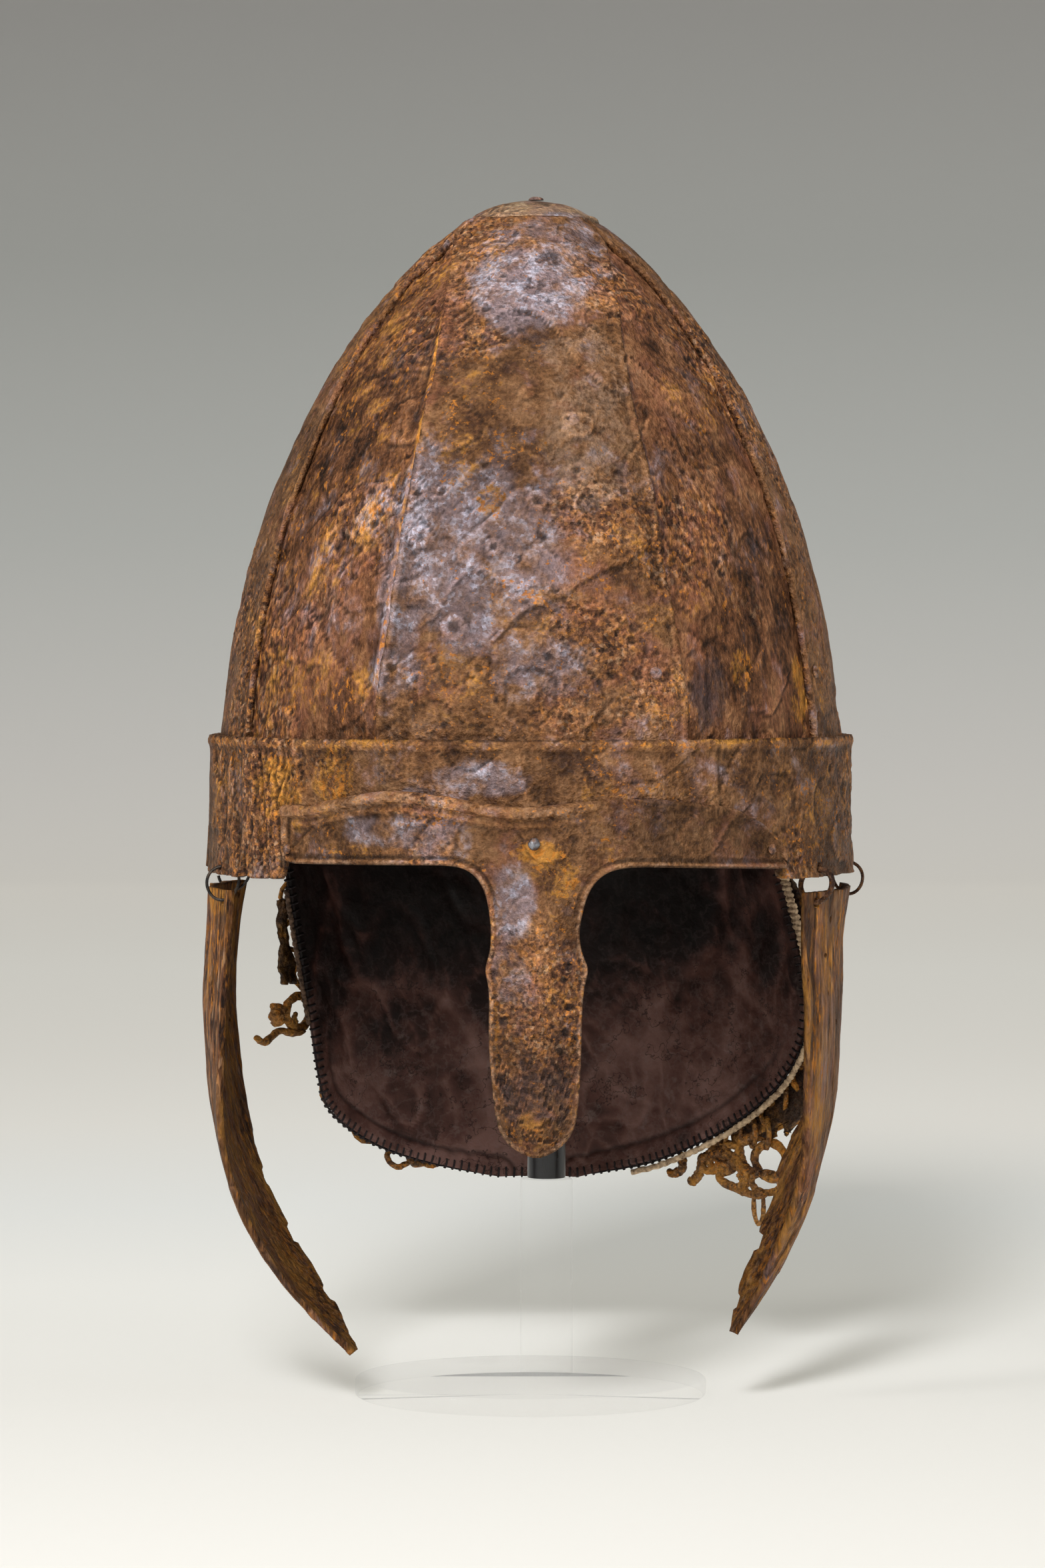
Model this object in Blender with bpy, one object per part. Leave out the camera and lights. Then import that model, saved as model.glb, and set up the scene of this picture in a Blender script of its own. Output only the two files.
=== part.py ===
# Norman helmet on a display stand: a tall skull of eight lapped iron plates under a crown disc,
# a brow band, a brow plate with a nasal, two hanging cheekpieces, a leather neck curtain with
# mail behind it, and the plain stand that carries it.
# The front faces -Y, +Z is up, and Z = 0 is the floor. Left is -X and right is +X, as seen
# from the front. Lengths are in metres and angles in degrees, counted from the front towards +X.

import math

import bmesh
import bpy
from mathutils import Matrix, Vector

MM = 0.001
GAP = 0.3 * MM

# Skull
RIM_Z = 178 * MM
SKULL_HEIGHT = 233 * MM
SKULL_HALF_WIDTH = 107 * MM
SKULL_DEPTH_RATIO = 1.10
PROFILE_POWER = 2.4
PROFILE_ROOT = 1.4
PLATE_WALL = 1.5 * MM
PLATE_FOOT_Z = RIM_Z + 10 * MM
PLATE_TOP_RADIUS = 22 * MM
PLATE_ROWS = 11
SEAM_ANGLE = 27
SEAM_ANGLE_AT_CROWN = 42
SEAM_LEAST_HALF_WIDTH = 23.5 * MM
SEAM_RIVET_Z = 247 * MM

# Crown disc
CROWN_RADIUS = 26.7 * MM
CROWN_TOP_Z = 406.9 * MM
CROWN_CURVE = 8.2
CROWN_WALL = 1.2 * MM
CROWN_X = 2 * MM

# Brow band
BAND_FOOT_Z = RIM_Z + 1 * MM
BAND_TOP_Z = RIM_Z + 48 * MM
BAND_FOOT_RADIUS = 109.7 * MM
BAND_TOP_RADIUS = 108.4 * MM
BAND_WALL = 1.8 * MM
BAND_BEAD = 0.9 * MM
BAND_BEAD_HEIGHT = 4 * MM
BAND_STEPS = 60
FACE_OPENING_ANGLE = 48
FACE_OPENING_RISE = 8.5 * MM

# Brow plate and nasal
BROW_WALL = 1.8 * MM
BROW_CLEARANCE = 0.55 * MM
BROW_MOULDING = 0.8 * MM
BROW_WING_COLUMNS = 6
BROW_TOP = [  # angle, height of the upper edge
    (-46.8, 203.5 * MM),
    (-41.0, 203.8 * MM),
    (-23.8, 209.3 * MM),
    (-12.0, 206.4 * MM),
    (-2.0, 203.6 * MM),
    (6.0, 205.2 * MM),
    (17.0, 206.4 * MM),
    (30.0, 204.6 * MM),
    (41.6, 199.9 * MM),
    (46.0, 195.6 * MM),
    (48.5, 188.0 * MM),
]
BROW_FOOT = [  # angle, height of the lower edge
    (-46.8, 184.8 * MM),
    (-12.0, 185.6 * MM),
    (16.0, 185.0 * MM),
    (48.5, 183.0 * MM),
]
NASAL_COLUMNS = 8
NASAL_RIDGE_X = 2.6 * MM
NASAL_RIDGE = 2.4 * MM
NASAL_LEAN = 0.04
NASAL_SHOULDER = (-24.0 * MM, 31.0 * MM)
NASAL_FILLET_Z = 170 * MM
NASAL_EDGES = [  # height, left edge, right edge
    (170.0 * MM, -13.2 * MM, 16.4 * MM),
    (163.9 * MM, -12.6 * MM, 15.2 * MM),
    (157.0 * MM, -13.2 * MM, 16.2 * MM),
    (152.3 * MM, -15.2 * MM, 19.0 * MM),
    (147.6 * MM, -13.4 * MM, 17.0 * MM),
    (139.0 * MM, -13.4 * MM, 16.4 * MM),
    (129.7 * MM, -13.7 * MM, 16.2 * MM),
    (118.4 * MM, -12.8 * MM, 15.8 * MM),
    (106.0 * MM, -11.6 * MM, 15.0 * MM),
]
NASAL_TIP_Z = 92.3 * MM
NASAL_TIP_ROWS = 3

# Cheekpieces and the loops that they hang from
LOOP_Z = RIM_Z - 1.4 * MM
LOOP_RADIUS = 5.9 * MM
LOOP_WIRE = 0.8 * MM
RIGHT_LOOP_WIDENING = 1.5
LOOP_HOLE = 1.9 * MM
LOOP_STEPS = 12
LOOP_SIDES = 6
CHEEK_WALL = 2.2 * MM
CHEEK_COLUMNS = 6
CHEEK_ROWS = 14
LEFT_LOOP_ANGLES = (-71.4, -108.6)
RIGHT_LOOP_ANGLES = (60.5, 93.0)
LEFT_CHEEK = [  # height, front edge x, middle x, rear edge x, front edge y, rear edge y
    (174.2 * MM, -100.7 * MM, -109.4 * MM, -100.7 * MM, -44 * MM, 44 * MM),
    (157.0 * MM, -101.6 * MM, -110.6 * MM, -102.4 * MM, -44 * MM, 43 * MM),
    (137.0 * MM, -103.4 * MM, -111.4 * MM, -102.0 * MM, -44 * MM, 41 * MM),
    (117.0 * MM, -104.6 * MM, -110.0 * MM, -100.8 * MM, -43 * MM, 37 * MM),
    (98.0 * MM, -105.4 * MM, -107.8 * MM, -96.8 * MM, -42 * MM, 31 * MM),
    (80.0 * MM, -103.6 * MM, -104.0 * MM, -93.2 * MM, -40 * MM, 22 * MM),
    (62.0 * MM, -97.0 * MM, -96.4 * MM, -85.4 * MM, -38 * MM, 12 * MM),
    (44.0 * MM, -86.6 * MM, -86.0 * MM, -76.0 * MM, -36 * MM, 0 * MM),
    (27.0 * MM, -72.4 * MM, -71.6 * MM, -65.6 * MM, -33 * MM, -12 * MM),
    (14.0 * MM, -59.8 * MM, -59.6 * MM, -59.0 * MM, -30 * MM, -25 * MM),
]
RIGHT_CHEEK = [  # height, front edge x, middle x, rear edge x, front edge y, rear edge y
    (174.2 * MM, 91.6 * MM, 106.2 * MM, 108.4 * MM, -66 * MM, 14 * MM),
    (157.0 * MM, 91.2 * MM, 104.4 * MM, 105.4 * MM, -65 * MM, 14 * MM),
    (137.0 * MM, 92.4 * MM, 104.4 * MM, 104.6 * MM, -64 * MM, 12 * MM),
    (117.0 * MM, 92.4 * MM, 103.8 * MM, 101.6 * MM, -62 * MM, 8 * MM),
    (99.0 * MM, 92.2 * MM, 101.6 * MM, 96.6 * MM, -60 * MM, 2 * MM),
    (82.0 * MM, 91.6 * MM, 98.0 * MM, 87.8 * MM, -56 * MM, -4 * MM),
    (67.0 * MM, 88.6 * MM, 93.8 * MM, 83.2 * MM, -52 * MM, -10 * MM),
    (50.0 * MM, 82.0 * MM, 86.4 * MM, 76.4 * MM, -47 * MM, -18 * MM),
    (35.0 * MM, 76.0 * MM, 78.0 * MM, 70.6 * MM, -42 * MM, -25 * MM),
    (20.0 * MM, 69.6 * MM, 69.2 * MM, 68.4 * MM, -37 * MM, -31 * MM),
]
CHEEK_PINHOLE = 1.1 * MM
LEFT_CHEEK_PINHOLES = [(30 * MM, 149 * MM), (31 * MM, 126 * MM)]  # y, z
RIGHT_CHEEK_PINHOLES = [  # y, z
    (-46 * MM, 165 * MM),
    (-50 * MM, 153 * MM),
    (-48 * MM, 140 * MM),
    (-38 * MM, 130 * MM),
    (-30 * MM, 75 * MM),
    (-35 * MM, 36 * MM),
]

# Neck curtain: leather inside, mail outside
LEATHER_RADIUS = 103.2 * MM
LEATHER_WALL = 1.6 * MM
LEATHER_COLUMNS = 22
MAIL_RADIUS = 106.1 * MM
MAIL_WALL = 2.4 * MM
MAIL_COLUMNS = 18
MAIL_EASE = 3 * MM
MAIL_EASE_HEIGHT = 20 * MM
CURTAIN_FLARE = 6 * MM
CURTAIN_FOLD = 1.0 * MM
CURTAIN_FOLDS = 7
LEATHER_EDGES = [  # height, reach to the left of the back, reach to the right
    (187.0 * MM, 57.0, 58.0),
    (176.0 * MM, 57.0, 58.5),
    (151.0 * MM, 53.5, 61.5),
    (134.0 * MM, 51.0, 63.0),
    (118.0 * MM, 48.6, 62.0),
    (103.0 * MM, 47.0, 57.0),
    (92.0 * MM, 44.6, 50.0),
    (83.0 * MM, 38.5, 42.0),
    (75.0 * MM, 30.0, 32.5),
    (69.0 * MM, 19.5, 23.0),
    (64.5 * MM, 7.0, 10.0),
]
MAIL_EDGES = [  # height, reach to the left of the back, reach to the right
    (187.0 * MM, 56.0, 58.0),
    (177.0 * MM, 55.6, 59.0),
    (160.0 * MM, 55.0, 61.0),
    (140.0 * MM, 54.6, 64.5),
    (118.0 * MM, 54.0, 65.0),
    (101.0 * MM, 47.0, 63.5),
    (91.0 * MM, 43.0, 60.5),
    (83.4 * MM, 38.0, 57.0),
]
PIPING_RADIUS = 1.0 * MM
PIPING_OFFSET = 1.8 * MM
RIGHT_PIPING_HEIGHTS = (122 * MM, 68 * MM)
RIGHT_WHIPPING_HEIGHTS = (177 * MM, 146 * MM)
LEFT_WHIPPING_HEIGHTS = (170 * MM, 122 * MM)

# Loose mail rings at the curtain's edge, in a four-in-one lattice
RING_RADIUS = 5.4 * MM
RING_WIRE = 1.0 * MM
RING_STEPS = 10
RING_SIDES = 5
RING_ROW_PITCH = 7.0 * MM
RING_COLUMN_ANGLE = 3.6
RING_TURN = 34
RING_TOP_Z = 181 * MM
FRINGE = [  # row, first column, last column
    (8, -17, -16),
    (9, -18, -17),
    (15, -8, -6),
    (15, 8, 14),
    (16, 11, 14),
    (17, 13, 14),
    (18, 14, 14),
]

# Display stand
FOOT_RADIUS = 60 * MM
FOOT_HEIGHT = 6 * MM
STEM_RADIUS = 9 * MM
POST_RADIUS = 6.5 * MM
POST_FOOT_Z = 73.6 * MM
POST_X = 5.5 * MM
POST_Y = 6 * MM
PAD_FOOT_Z = 374 * MM
PAD_TOP_Z = 390 * MM
PAD_CLEARANCE = 7.0 * MM

# Colours: red, green, blue, roughness, metallic
FINISHES = {
    "rusted iron": (0.23, 0.12, 0.07, 0.75, 0.35),
    "under plate iron": (0.20, 0.10, 0.055, 0.8, 0.3),
    "band iron": (0.26, 0.13, 0.065, 0.8, 0.3),
    "brow iron": (0.24, 0.13, 0.09, 0.7, 0.4),
    "crown plate": (0.36, 0.28, 0.18, 0.55, 0.5),
    "bare rivet": (0.40, 0.41, 0.44, 0.4, 0.8),
    "cheek iron": (0.28, 0.15, 0.07, 0.85, 0.25),
    "dark wire": (0.05, 0.045, 0.04, 0.6, 0.6),
    "brown loop": (0.22, 0.11, 0.05, 0.8, 0.3),
    "mail": (0.26, 0.14, 0.05, 0.8, 0.4),
    "curtain leather": (0.06, 0.03, 0.028, 0.6, 0.0),
    "edge cord": (0.45, 0.38, 0.30, 0.9, 0.0),
    "black post": (0.01, 0.01, 0.012, 0.35, 0.0),
    "pad felt": (0.02, 0.02, 0.022, 0.95, 0.0),
    "clear acrylic": (0.95, 0.96, 0.96, 0.05, 0.0),
}


def smooth_between(table, key, column):
    """Reads a column of a table at key, on a smooth curve through the rows."""
    rows = sorted(table)
    key = min(max(key, rows[0][0]), rows[-1][0])
    last = len(rows) - 2
    index = min(max(sum(row[0] <= key for row in rows) - 1, 0), last)
    low, high = rows[index], rows[index + 1]
    before, after = rows[max(index - 1, 0)], rows[min(index + 2, last + 1)]
    span = high[0] - low[0]
    slope_low = (high[column] - before[column]) / (high[0] - before[0])
    slope_high = (after[column] - low[column]) / (after[0] - low[0])
    part = (key - low[0]) / span
    return (
        (2 * part**3 - 3 * part**2 + 1) * low[column]
        + (part**3 - 2 * part**2 + part) * span * slope_low
        + (3 * part**2 - 2 * part**3) * high[column]
        + (part**3 - part**2) * span * slope_high
    )


def straight_between(table, key, column):
    """Reads a column of a table at key, on straight lines through the rows."""
    rows = sorted(table)
    key = min(max(key, rows[0][0]), rows[-1][0])
    index = min(max(sum(row[0] <= key for row in rows) - 1, 0), len(rows) - 2)
    low, high = rows[index], rows[index + 1]
    part = (key - low[0]) / (high[0] - low[0])
    return low[column] + (high[column] - low[column]) * part


def clear_scene():
    for thing in list(bpy.data.objects):
        bpy.data.objects.remove(thing)


def finish_material(name, finish):
    red, green, blue, roughness, metallic = FINISHES[finish]
    material = bpy.data.materials.new(name)
    material.use_nodes = True
    material.diffuse_color = (red, green, blue, 1)
    shader = material.node_tree.nodes["Principled BSDF"]
    shader.inputs["Base Color"].default_value = (red, green, blue, 1)
    shader.inputs["Roughness"].default_value = roughness
    shader.inputs["Metallic"].default_value = metallic
    return material


def add_object(name, mesh_builder, finish, origin=None):
    """Makes the object of a bmesh, with its origin moved to a point if one is given."""
    origin = Vector(origin or (0, 0, 0))
    bmesh.ops.translate(mesh_builder, verts=mesh_builder.verts, vec=-origin)
    mesh = bpy.data.meshes.new(name)
    mesh_builder.to_mesh(mesh)
    mesh_builder.free()
    mesh.materials.append(finish_material(name, finish))
    mesh.shade_smooth()
    mesh.set_sharp_from_angle(angle=math.radians(35))
    piece = bpy.data.objects.new(name, mesh)
    piece.location = origin
    bpy.context.collection.objects.link(piece)
    return piece


def thicken(piece, wall):
    """Gives a sheet its wall, inwards from the modelled face."""
    solidify = piece.modifiers.new("Wall", "SOLIDIFY")
    solidify.thickness = wall
    solidify.offset = -1
    solidify.use_even_offset = True


def cut(piece, cutters):
    """Cuts the shapes of a bmesh out of a piece."""
    cutter = add_object(piece.name + "_holes", cutters, "dark wire")
    cutter.hide_render = True
    cutter.display_type = "WIRE"
    boolean = piece.modifiers.new("Holes", "BOOLEAN")
    boolean.operation = "DIFFERENCE"
    boolean.object = cutter


def mapped_grid(columns, rows, place):
    """A grid whose crossing (column, row) goes to place(column, row)."""
    sheet = bmesh.new()
    bmesh.ops.create_grid(sheet, x_segments=columns, y_segments=rows, size=0.5)
    for vertex in sheet.verts:
        column = round((vertex.co.x + 0.5) * columns)
        row = round((vertex.co.y + 0.5) * rows)
        vertex.co = place(column, row)
    return sheet


def turned_solid(profile, steps, closed=False):
    """Spins a profile of (radius, height) pairs about Z into a solid."""
    solid = bmesh.new()
    vertices = [solid.verts.new((radius, 0, height)) for radius, height in profile]
    edges = [solid.edges.new(pair) for pair in zip(vertices, vertices[1:])]
    if closed:
        edges.append(solid.edges.new((vertices[-1], vertices[0])))
    bmesh.ops.spin(
        solid,
        geom=vertices + edges,
        cent=(0, 0, 0),
        axis=(0, 0, 1),
        angle=math.tau,
        steps=steps,
        use_merge=True,
    )
    bmesh.ops.remove_doubles(solid, verts=solid.verts, dist=1e-6)
    bmesh.ops.recalc_face_normals(solid, faces=solid.faces)
    return solid


def stand_on(solid, point, direction):
    """Turns a solid's Z axis to a direction and moves its origin to a point."""
    turn = Vector((0, 0, 1)).rotation_difference(Vector(direction)).to_matrix().to_4x4()
    bmesh.ops.transform(solid, matrix=Matrix.Translation(point) @ turn, verts=solid.verts)
    return solid


def add_drill(cutters, point, direction, radius, length, sides):
    """Adds a drilled hole's round bar to the cutters."""
    turn = Vector((0, 0, 1)).rotation_difference(Vector(direction)).to_matrix().to_4x4()
    bmesh.ops.create_cone(
        cutters,
        cap_ends=True,
        segments=sides,
        radius1=radius,
        radius2=radius,
        depth=length,
        matrix=Matrix.Translation(point) @ turn,
    )


# Skull plates


def depth_ratio(height):
    """The plan is an oval at the rim and grows round towards the crown."""
    rise = max(height - RIM_Z, 0) / SKULL_HEIGHT
    return 1 + (SKULL_DEPTH_RATIO - 1) * (1 - rise**4)


def skull_point(angle, turn):
    """A point of the skull's outer face: turn is 0 at the rim and 90 at the apex."""
    radius = SKULL_HALF_WIDTH * math.cos(math.radians(turn)) ** (2 / PROFILE_ROOT)
    height = RIM_Z + SKULL_HEIGHT * math.sin(math.radians(turn)) ** (2 / PROFILE_POWER)
    around = math.radians(angle)
    depth = radius * depth_ratio(height)
    return Vector((radius * math.sin(around), -depth * math.cos(around), height))


def skull_offset(angle, turn, out):
    """A skull point moved along the surface's normal."""
    step = 0.01
    along = skull_point(angle + step, turn) - skull_point(angle - step, turn)
    up = skull_point(angle, turn + step) - skull_point(angle, turn - step)
    return skull_point(angle, turn) + along.cross(up).normalized() * out


def turn_at_height(height):
    rise = (height - RIM_Z) / SKULL_HEIGHT
    return math.degrees(math.asin(rise ** (PROFILE_POWER / 2)))


def turn_at_radius(radius):
    return math.degrees(math.acos((radius / SKULL_HALF_WIDTH) ** (PROFILE_ROOT / 2)))


def plate_turn(row):
    low = turn_at_height(PLATE_FOOT_Z)
    high = turn_at_radius(PLATE_TOP_RADIUS)
    return low + (high - low) * row / PLATE_ROWS


def seam_angle(turn):
    """Half the angle that an outer plate covers. It widens as the skull closes."""
    radius = SKULL_HALF_WIDTH * math.cos(math.radians(turn)) ** (2 / PROFILE_ROOT)
    widened = math.degrees(math.asin(min(SEAM_LEAST_HALF_WIDTH / radius, 1)))
    return min(max(SEAM_ANGLE, widened), SEAM_ANGLE_AT_CROWN)


def make_outer_plate(name, centre):
    def place(column, row):
        turn = plate_turn(row)
        return skull_offset(centre + seam_angle(turn) * (column - 3) / 3, turn, 0)

    thicken(add_object(name, mapped_grid(6, PLATE_ROWS, place), "rusted iron"), PLATE_WALL)


def make_under_plate(name, first_outer_centre):
    """A plate that runs under the edges of the two outer plates beside it."""

    def place(column, row):
        turn = plate_turn(row)
        edge = seam_angle(turn)
        open_width = 90 - 2 * edge
        angles = [edge * 2 / 3, edge]
        angles += [edge + open_width * part / 3 for part in (1, 2, 3)]
        angles += [90 - edge * 2 / 3]
        angle = first_outer_centre + angles[column]
        return skull_offset(angle, turn, -PLATE_WALL - GAP)

    thicken(add_object(name, mapped_grid(5, PLATE_ROWS, place), "under plate iron"), PLATE_WALL)


def rivet_solid(radius, height, sides=8):
    profile = [(0, 0), (radius, 0), (radius * 0.75, height * 0.65), (0, height)]
    return turned_solid(profile, sides)


def make_seam_rivets():
    """One low rivet head on each edge of each outer plate, just above the band."""
    turn = turn_at_height(SEAM_RIVET_Z)
    inset = 4
    for plate in range(4):
        for side in (-1, 1):
            angle = plate * 90 + side * (SEAM_ANGLE - inset)
            point = skull_offset(angle, turn, GAP)
            outward = skull_offset(angle, turn, 1) - skull_offset(angle, turn, 0)
            head = stand_on(rivet_solid(2.2 * MM, 0.9 * MM), point, outward)
            add_object(f"seam_rivet_{plate * 2 + (side + 1) // 2 + 1}", head, "rusted iron")


def make_crown():
    def dome(radius, top):
        return top - CROWN_CURVE * radius**2

    radii = [CROWN_RADIUS * part / 3 for part in range(4)]
    profile = [(radius, dome(radius, CROWN_TOP_Z)) for radius in radii]
    profile += [(radius, dome(radius, CROWN_TOP_Z - CROWN_WALL)) for radius in reversed(radii)]
    disc = turned_solid(profile, 20)
    bmesh.ops.translate(disc, verts=disc.verts, vec=(CROWN_X, 0, 0))
    add_object("crown_disc", disc, "crown plate")
    head = rivet_solid(2.6 * MM, 2.0 * MM, 10)
    bmesh.ops.translate(head, verts=head.verts, vec=(CROWN_X, 0, CROWN_TOP_Z + GAP))
    add_object("crown_rivet", head, "bare rivet")


# Brow band


def band_radius(height):
    part = (height - BAND_FOOT_Z) / (BAND_TOP_Z - BAND_FOOT_Z)
    return BAND_FOOT_RADIUS + (BAND_TOP_RADIUS - BAND_FOOT_RADIUS) * min(max(part, 0), 1)


def band_point(angle, height, out):
    """A point at a distance outside the band's outer face."""
    radius = band_radius(height) + out
    around = math.radians(angle)
    return Vector(
        (radius * math.sin(around), -radius * SKULL_DEPTH_RATIO * math.cos(around), height)
    )


def band_outward(angle):
    around = math.radians(angle)
    return Vector((math.sin(around) * SKULL_DEPTH_RATIO, -math.cos(around), 0)).normalized()


def make_band():
    """The band round the rim, raised at the front where the face opening is cut."""
    bead_foot = BAND_TOP_Z - BAND_BEAD_HEIGHT
    profile = [
        (BAND_FOOT_RADIUS, BAND_FOOT_Z),
        (band_radius(bead_foot), bead_foot),
        (band_radius(bead_foot) + BAND_BEAD, bead_foot + BAND_BEAD_HEIGHT / 4),
        (BAND_TOP_RADIUS + BAND_BEAD, BAND_TOP_Z - BAND_BEAD_HEIGHT / 4),
        (BAND_TOP_RADIUS, BAND_TOP_Z),
        (BAND_TOP_RADIUS - BAND_WALL, BAND_TOP_Z),
        (BAND_FOOT_RADIUS - BAND_WALL, BAND_FOOT_Z),
    ]
    band = turned_solid(profile, BAND_STEPS, closed=True)
    for vertex in band.verts:
        angle = math.degrees(math.atan2(vertex.co.x, -vertex.co.y))
        vertex.co.y *= SKULL_DEPTH_RATIO
        if abs(angle) < FACE_OPENING_ANGLE and vertex.co.z < BAND_FOOT_Z + MM:
            vertex.co.z += FACE_OPENING_RISE
    piece = add_object("brow_band", band, "band iron")

    cutters = bmesh.new()
    for angle in LEFT_LOOP_ANGLES + RIGHT_LOOP_ANGLES:
        point = band_point(angle, LOOP_Z + LOOP_RADIUS, -BAND_WALL / 2)
        add_drill(cutters, point, band_outward(angle), LOOP_HOLE, 12 * MM, 8)
    for angle in (53.5, 69, 78):
        point = band_point(angle, BAND_FOOT_Z + 7 * MM, -BAND_WALL / 2)
        add_drill(cutters, point, band_outward(angle), 1.2 * MM, 12 * MM, 6)
    broken = band_point(-59, BAND_FOOT_Z + 1 * MM, -BAND_WALL / 2)
    add_drill(cutters, broken, band_outward(-59), 3 * MM, 12 * MM, 6)
    cut(piece, cutters)


# Brow plate and nasal


def brow_point(across, height, sideways=False, ridge_width=None):
    """A point of the brow plate's outer face at an angle, or at a sideways distance."""
    radius = band_radius(height) + BROW_CLEARANCE + BROW_WALL
    angle = math.degrees(math.asin(across / radius)) if sideways else across
    point = band_point(angle, height, BROW_CLEARANCE + BROW_WALL)
    foot = BROW_FOOT[1][1]
    if height < foot:
        point.y -= (foot - height) * NASAL_LEAN
    if ridge_width:
        fade = min(max((foot - height) / (12 * MM), 0), 1)
        point.y -= NASAL_RIDGE * fade * (1 - abs(point.x - NASAL_RIDGE_X) / ridge_width)
    return point


def column_angles():
    """The brow plate's columns: a wing, the nasal's width and the other wing."""
    radius = band_radius(BROW_FOOT[1][1])
    left, right = NASAL_SHOULDER
    half = NASAL_COLUMNS // 2
    middle = [left + (NASAL_RIDGE_X - left) * part / half for part in range(half)]
    middle += [NASAL_RIDGE_X + (right - NASAL_RIDGE_X) * part / half for part in range(half + 1)]
    middle = [math.degrees(math.asin(x / radius)) for x in middle]
    first, last = BROW_TOP[0][0], BROW_TOP[-1][0]
    wings = range(1, BROW_WING_COLUMNS + 1)
    left_wing = [middle[0] + (first - middle[0]) * part / BROW_WING_COLUMNS for part in wings]
    right_wing = [middle[-1] + (last - middle[-1]) * part / BROW_WING_COLUMNS for part in wings]
    return left_wing[::-1] + middle + right_wing


def nasal_rows():
    """Heights and edges of the nasal, from the fillets under the brow to the round tip."""
    rows = []
    left_edge, right_edge = NASAL_EDGES[0][1:]
    brow_foot = BROW_FOOT[1][1]
    for turn in (60, 30):
        lift = math.sin(math.radians(turn))
        spread = 1 - math.cos(math.radians(turn))
        rows.append(
            (
                NASAL_FILLET_Z + (brow_foot - NASAL_FILLET_Z) * lift,
                left_edge + (NASAL_SHOULDER[0] - left_edge) * spread,
                right_edge + (NASAL_SHOULDER[1] - right_edge) * spread,
            )
        )
    rows += NASAL_EDGES
    low, left_edge, right_edge = NASAL_EDGES[-1]
    middle = (left_edge + right_edge) / 2
    for step in range(1, NASAL_TIP_ROWS + 1):
        turn = math.radians(84 * step / NASAL_TIP_ROWS)
        half = (right_edge - left_edge) / 2 * math.cos(turn)
        rows.append((low - (low - NASAL_TIP_Z) * math.sin(turn), middle - half, middle + half))
    return rows


def make_brow_plate():
    angles = column_angles()

    def place(column, row):
        angle = angles[column]
        foot = straight_between(BROW_FOOT, angle, 1)
        top = smooth_between(BROW_TOP, angle, 1)
        face = top - 3.2 * MM
        heights = [foot, foot + (face - foot) / 2, face, top - 2.4 * MM, top - 0.8 * MM, top]
        point = brow_point(angle, heights[row])
        if row in (3, 4):
            point += band_outward(angle) * BROW_MOULDING
        return point

    plate = mapped_grid(len(angles) - 1, 5, place)
    plate.verts.ensure_lookup_table()
    first = BROW_WING_COLUMNS
    shoulder = [place(column, 0) for column in range(first, first + NASAL_COLUMNS + 1)]
    line = [min(plate.verts, key=lambda v, p=point: (v.co - p).length) for point in shoulder]
    edges = [plate.edges.get(pair) for pair in zip(line, line[1:])]
    half = NASAL_COLUMNS // 2
    for height, left, right in nasal_rows():
        made = bmesh.ops.extrude_edge_only(plate, edges=edges)["geom"]
        edges = [part for part in made if isinstance(part, bmesh.types.BMEdge)]
        line = [part for part in made if isinstance(part, bmesh.types.BMVert)]
        line.sort(key=lambda vertex: vertex.co.x)
        edges = [edge for edge in edges if all(vertex in line for vertex in edge.verts)]
        for index, vertex in enumerate(line):
            if index <= half:
                x = left + (NASAL_RIDGE_X - left) * index / half
            else:
                x = NASAL_RIDGE_X + (right - NASAL_RIDGE_X) * (index - half) / half
            vertex.co = brow_point(x, height, True, max(right - left, 20 * MM) / 2)
    bmesh.ops.recalc_face_normals(plate, faces=plate.faces)
    plate.faces.ensure_lookup_table()
    if sum(face.normal.y for face in plate.faces) > 0:
        bmesh.ops.reverse_faces(plate, faces=plate.faces)
    thicken(add_object("brow_plate", plate, "brow iron"), BROW_WALL)

    outward = Vector((0, -1, 0))
    point = brow_point(1.0 * MM, 192.5 * MM, True) + outward * GAP
    add_object("nasal_rivet", stand_on(rivet_solid(2.0 * MM, 1.1 * MM), point, outward), "bare rivet")
    for name, angle in (("brow_rivet_left", -45.2), ("brow_rivet_right", 44.6)):
        point = brow_point(angle, 189.6 * MM) + band_outward(angle) * GAP
        head = stand_on(rivet_solid(1.8 * MM, 1.0 * MM), point, band_outward(angle))
        add_object(name, head, "bare rivet")


# Cheekpieces


def loop_centre(angle):
    point = band_point(angle, LOOP_Z + LOOP_RADIUS, -BAND_WALL / 2)
    return Vector((point.x, point.y, LOOP_Z))


def hinge_direction(angles):
    front, rear = (loop_centre(angle) for angle in angles)
    return (rear - front).normalized()


def cheek_point(table, across, height):
    """across runs from -1 at the front edge to 1 at the rear edge."""
    front, middle, rear = (smooth_between(table, height, column) for column in (1, 2, 3))
    front_y, rear_y = (smooth_between(table, height, column) for column in (4, 5))
    x = middle + (rear - front) / 2 * across + ((rear + front) / 2 - middle) * across**2
    return Vector((x, front_y + (rear_y - front_y) * (across + 1) / 2, height))


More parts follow.
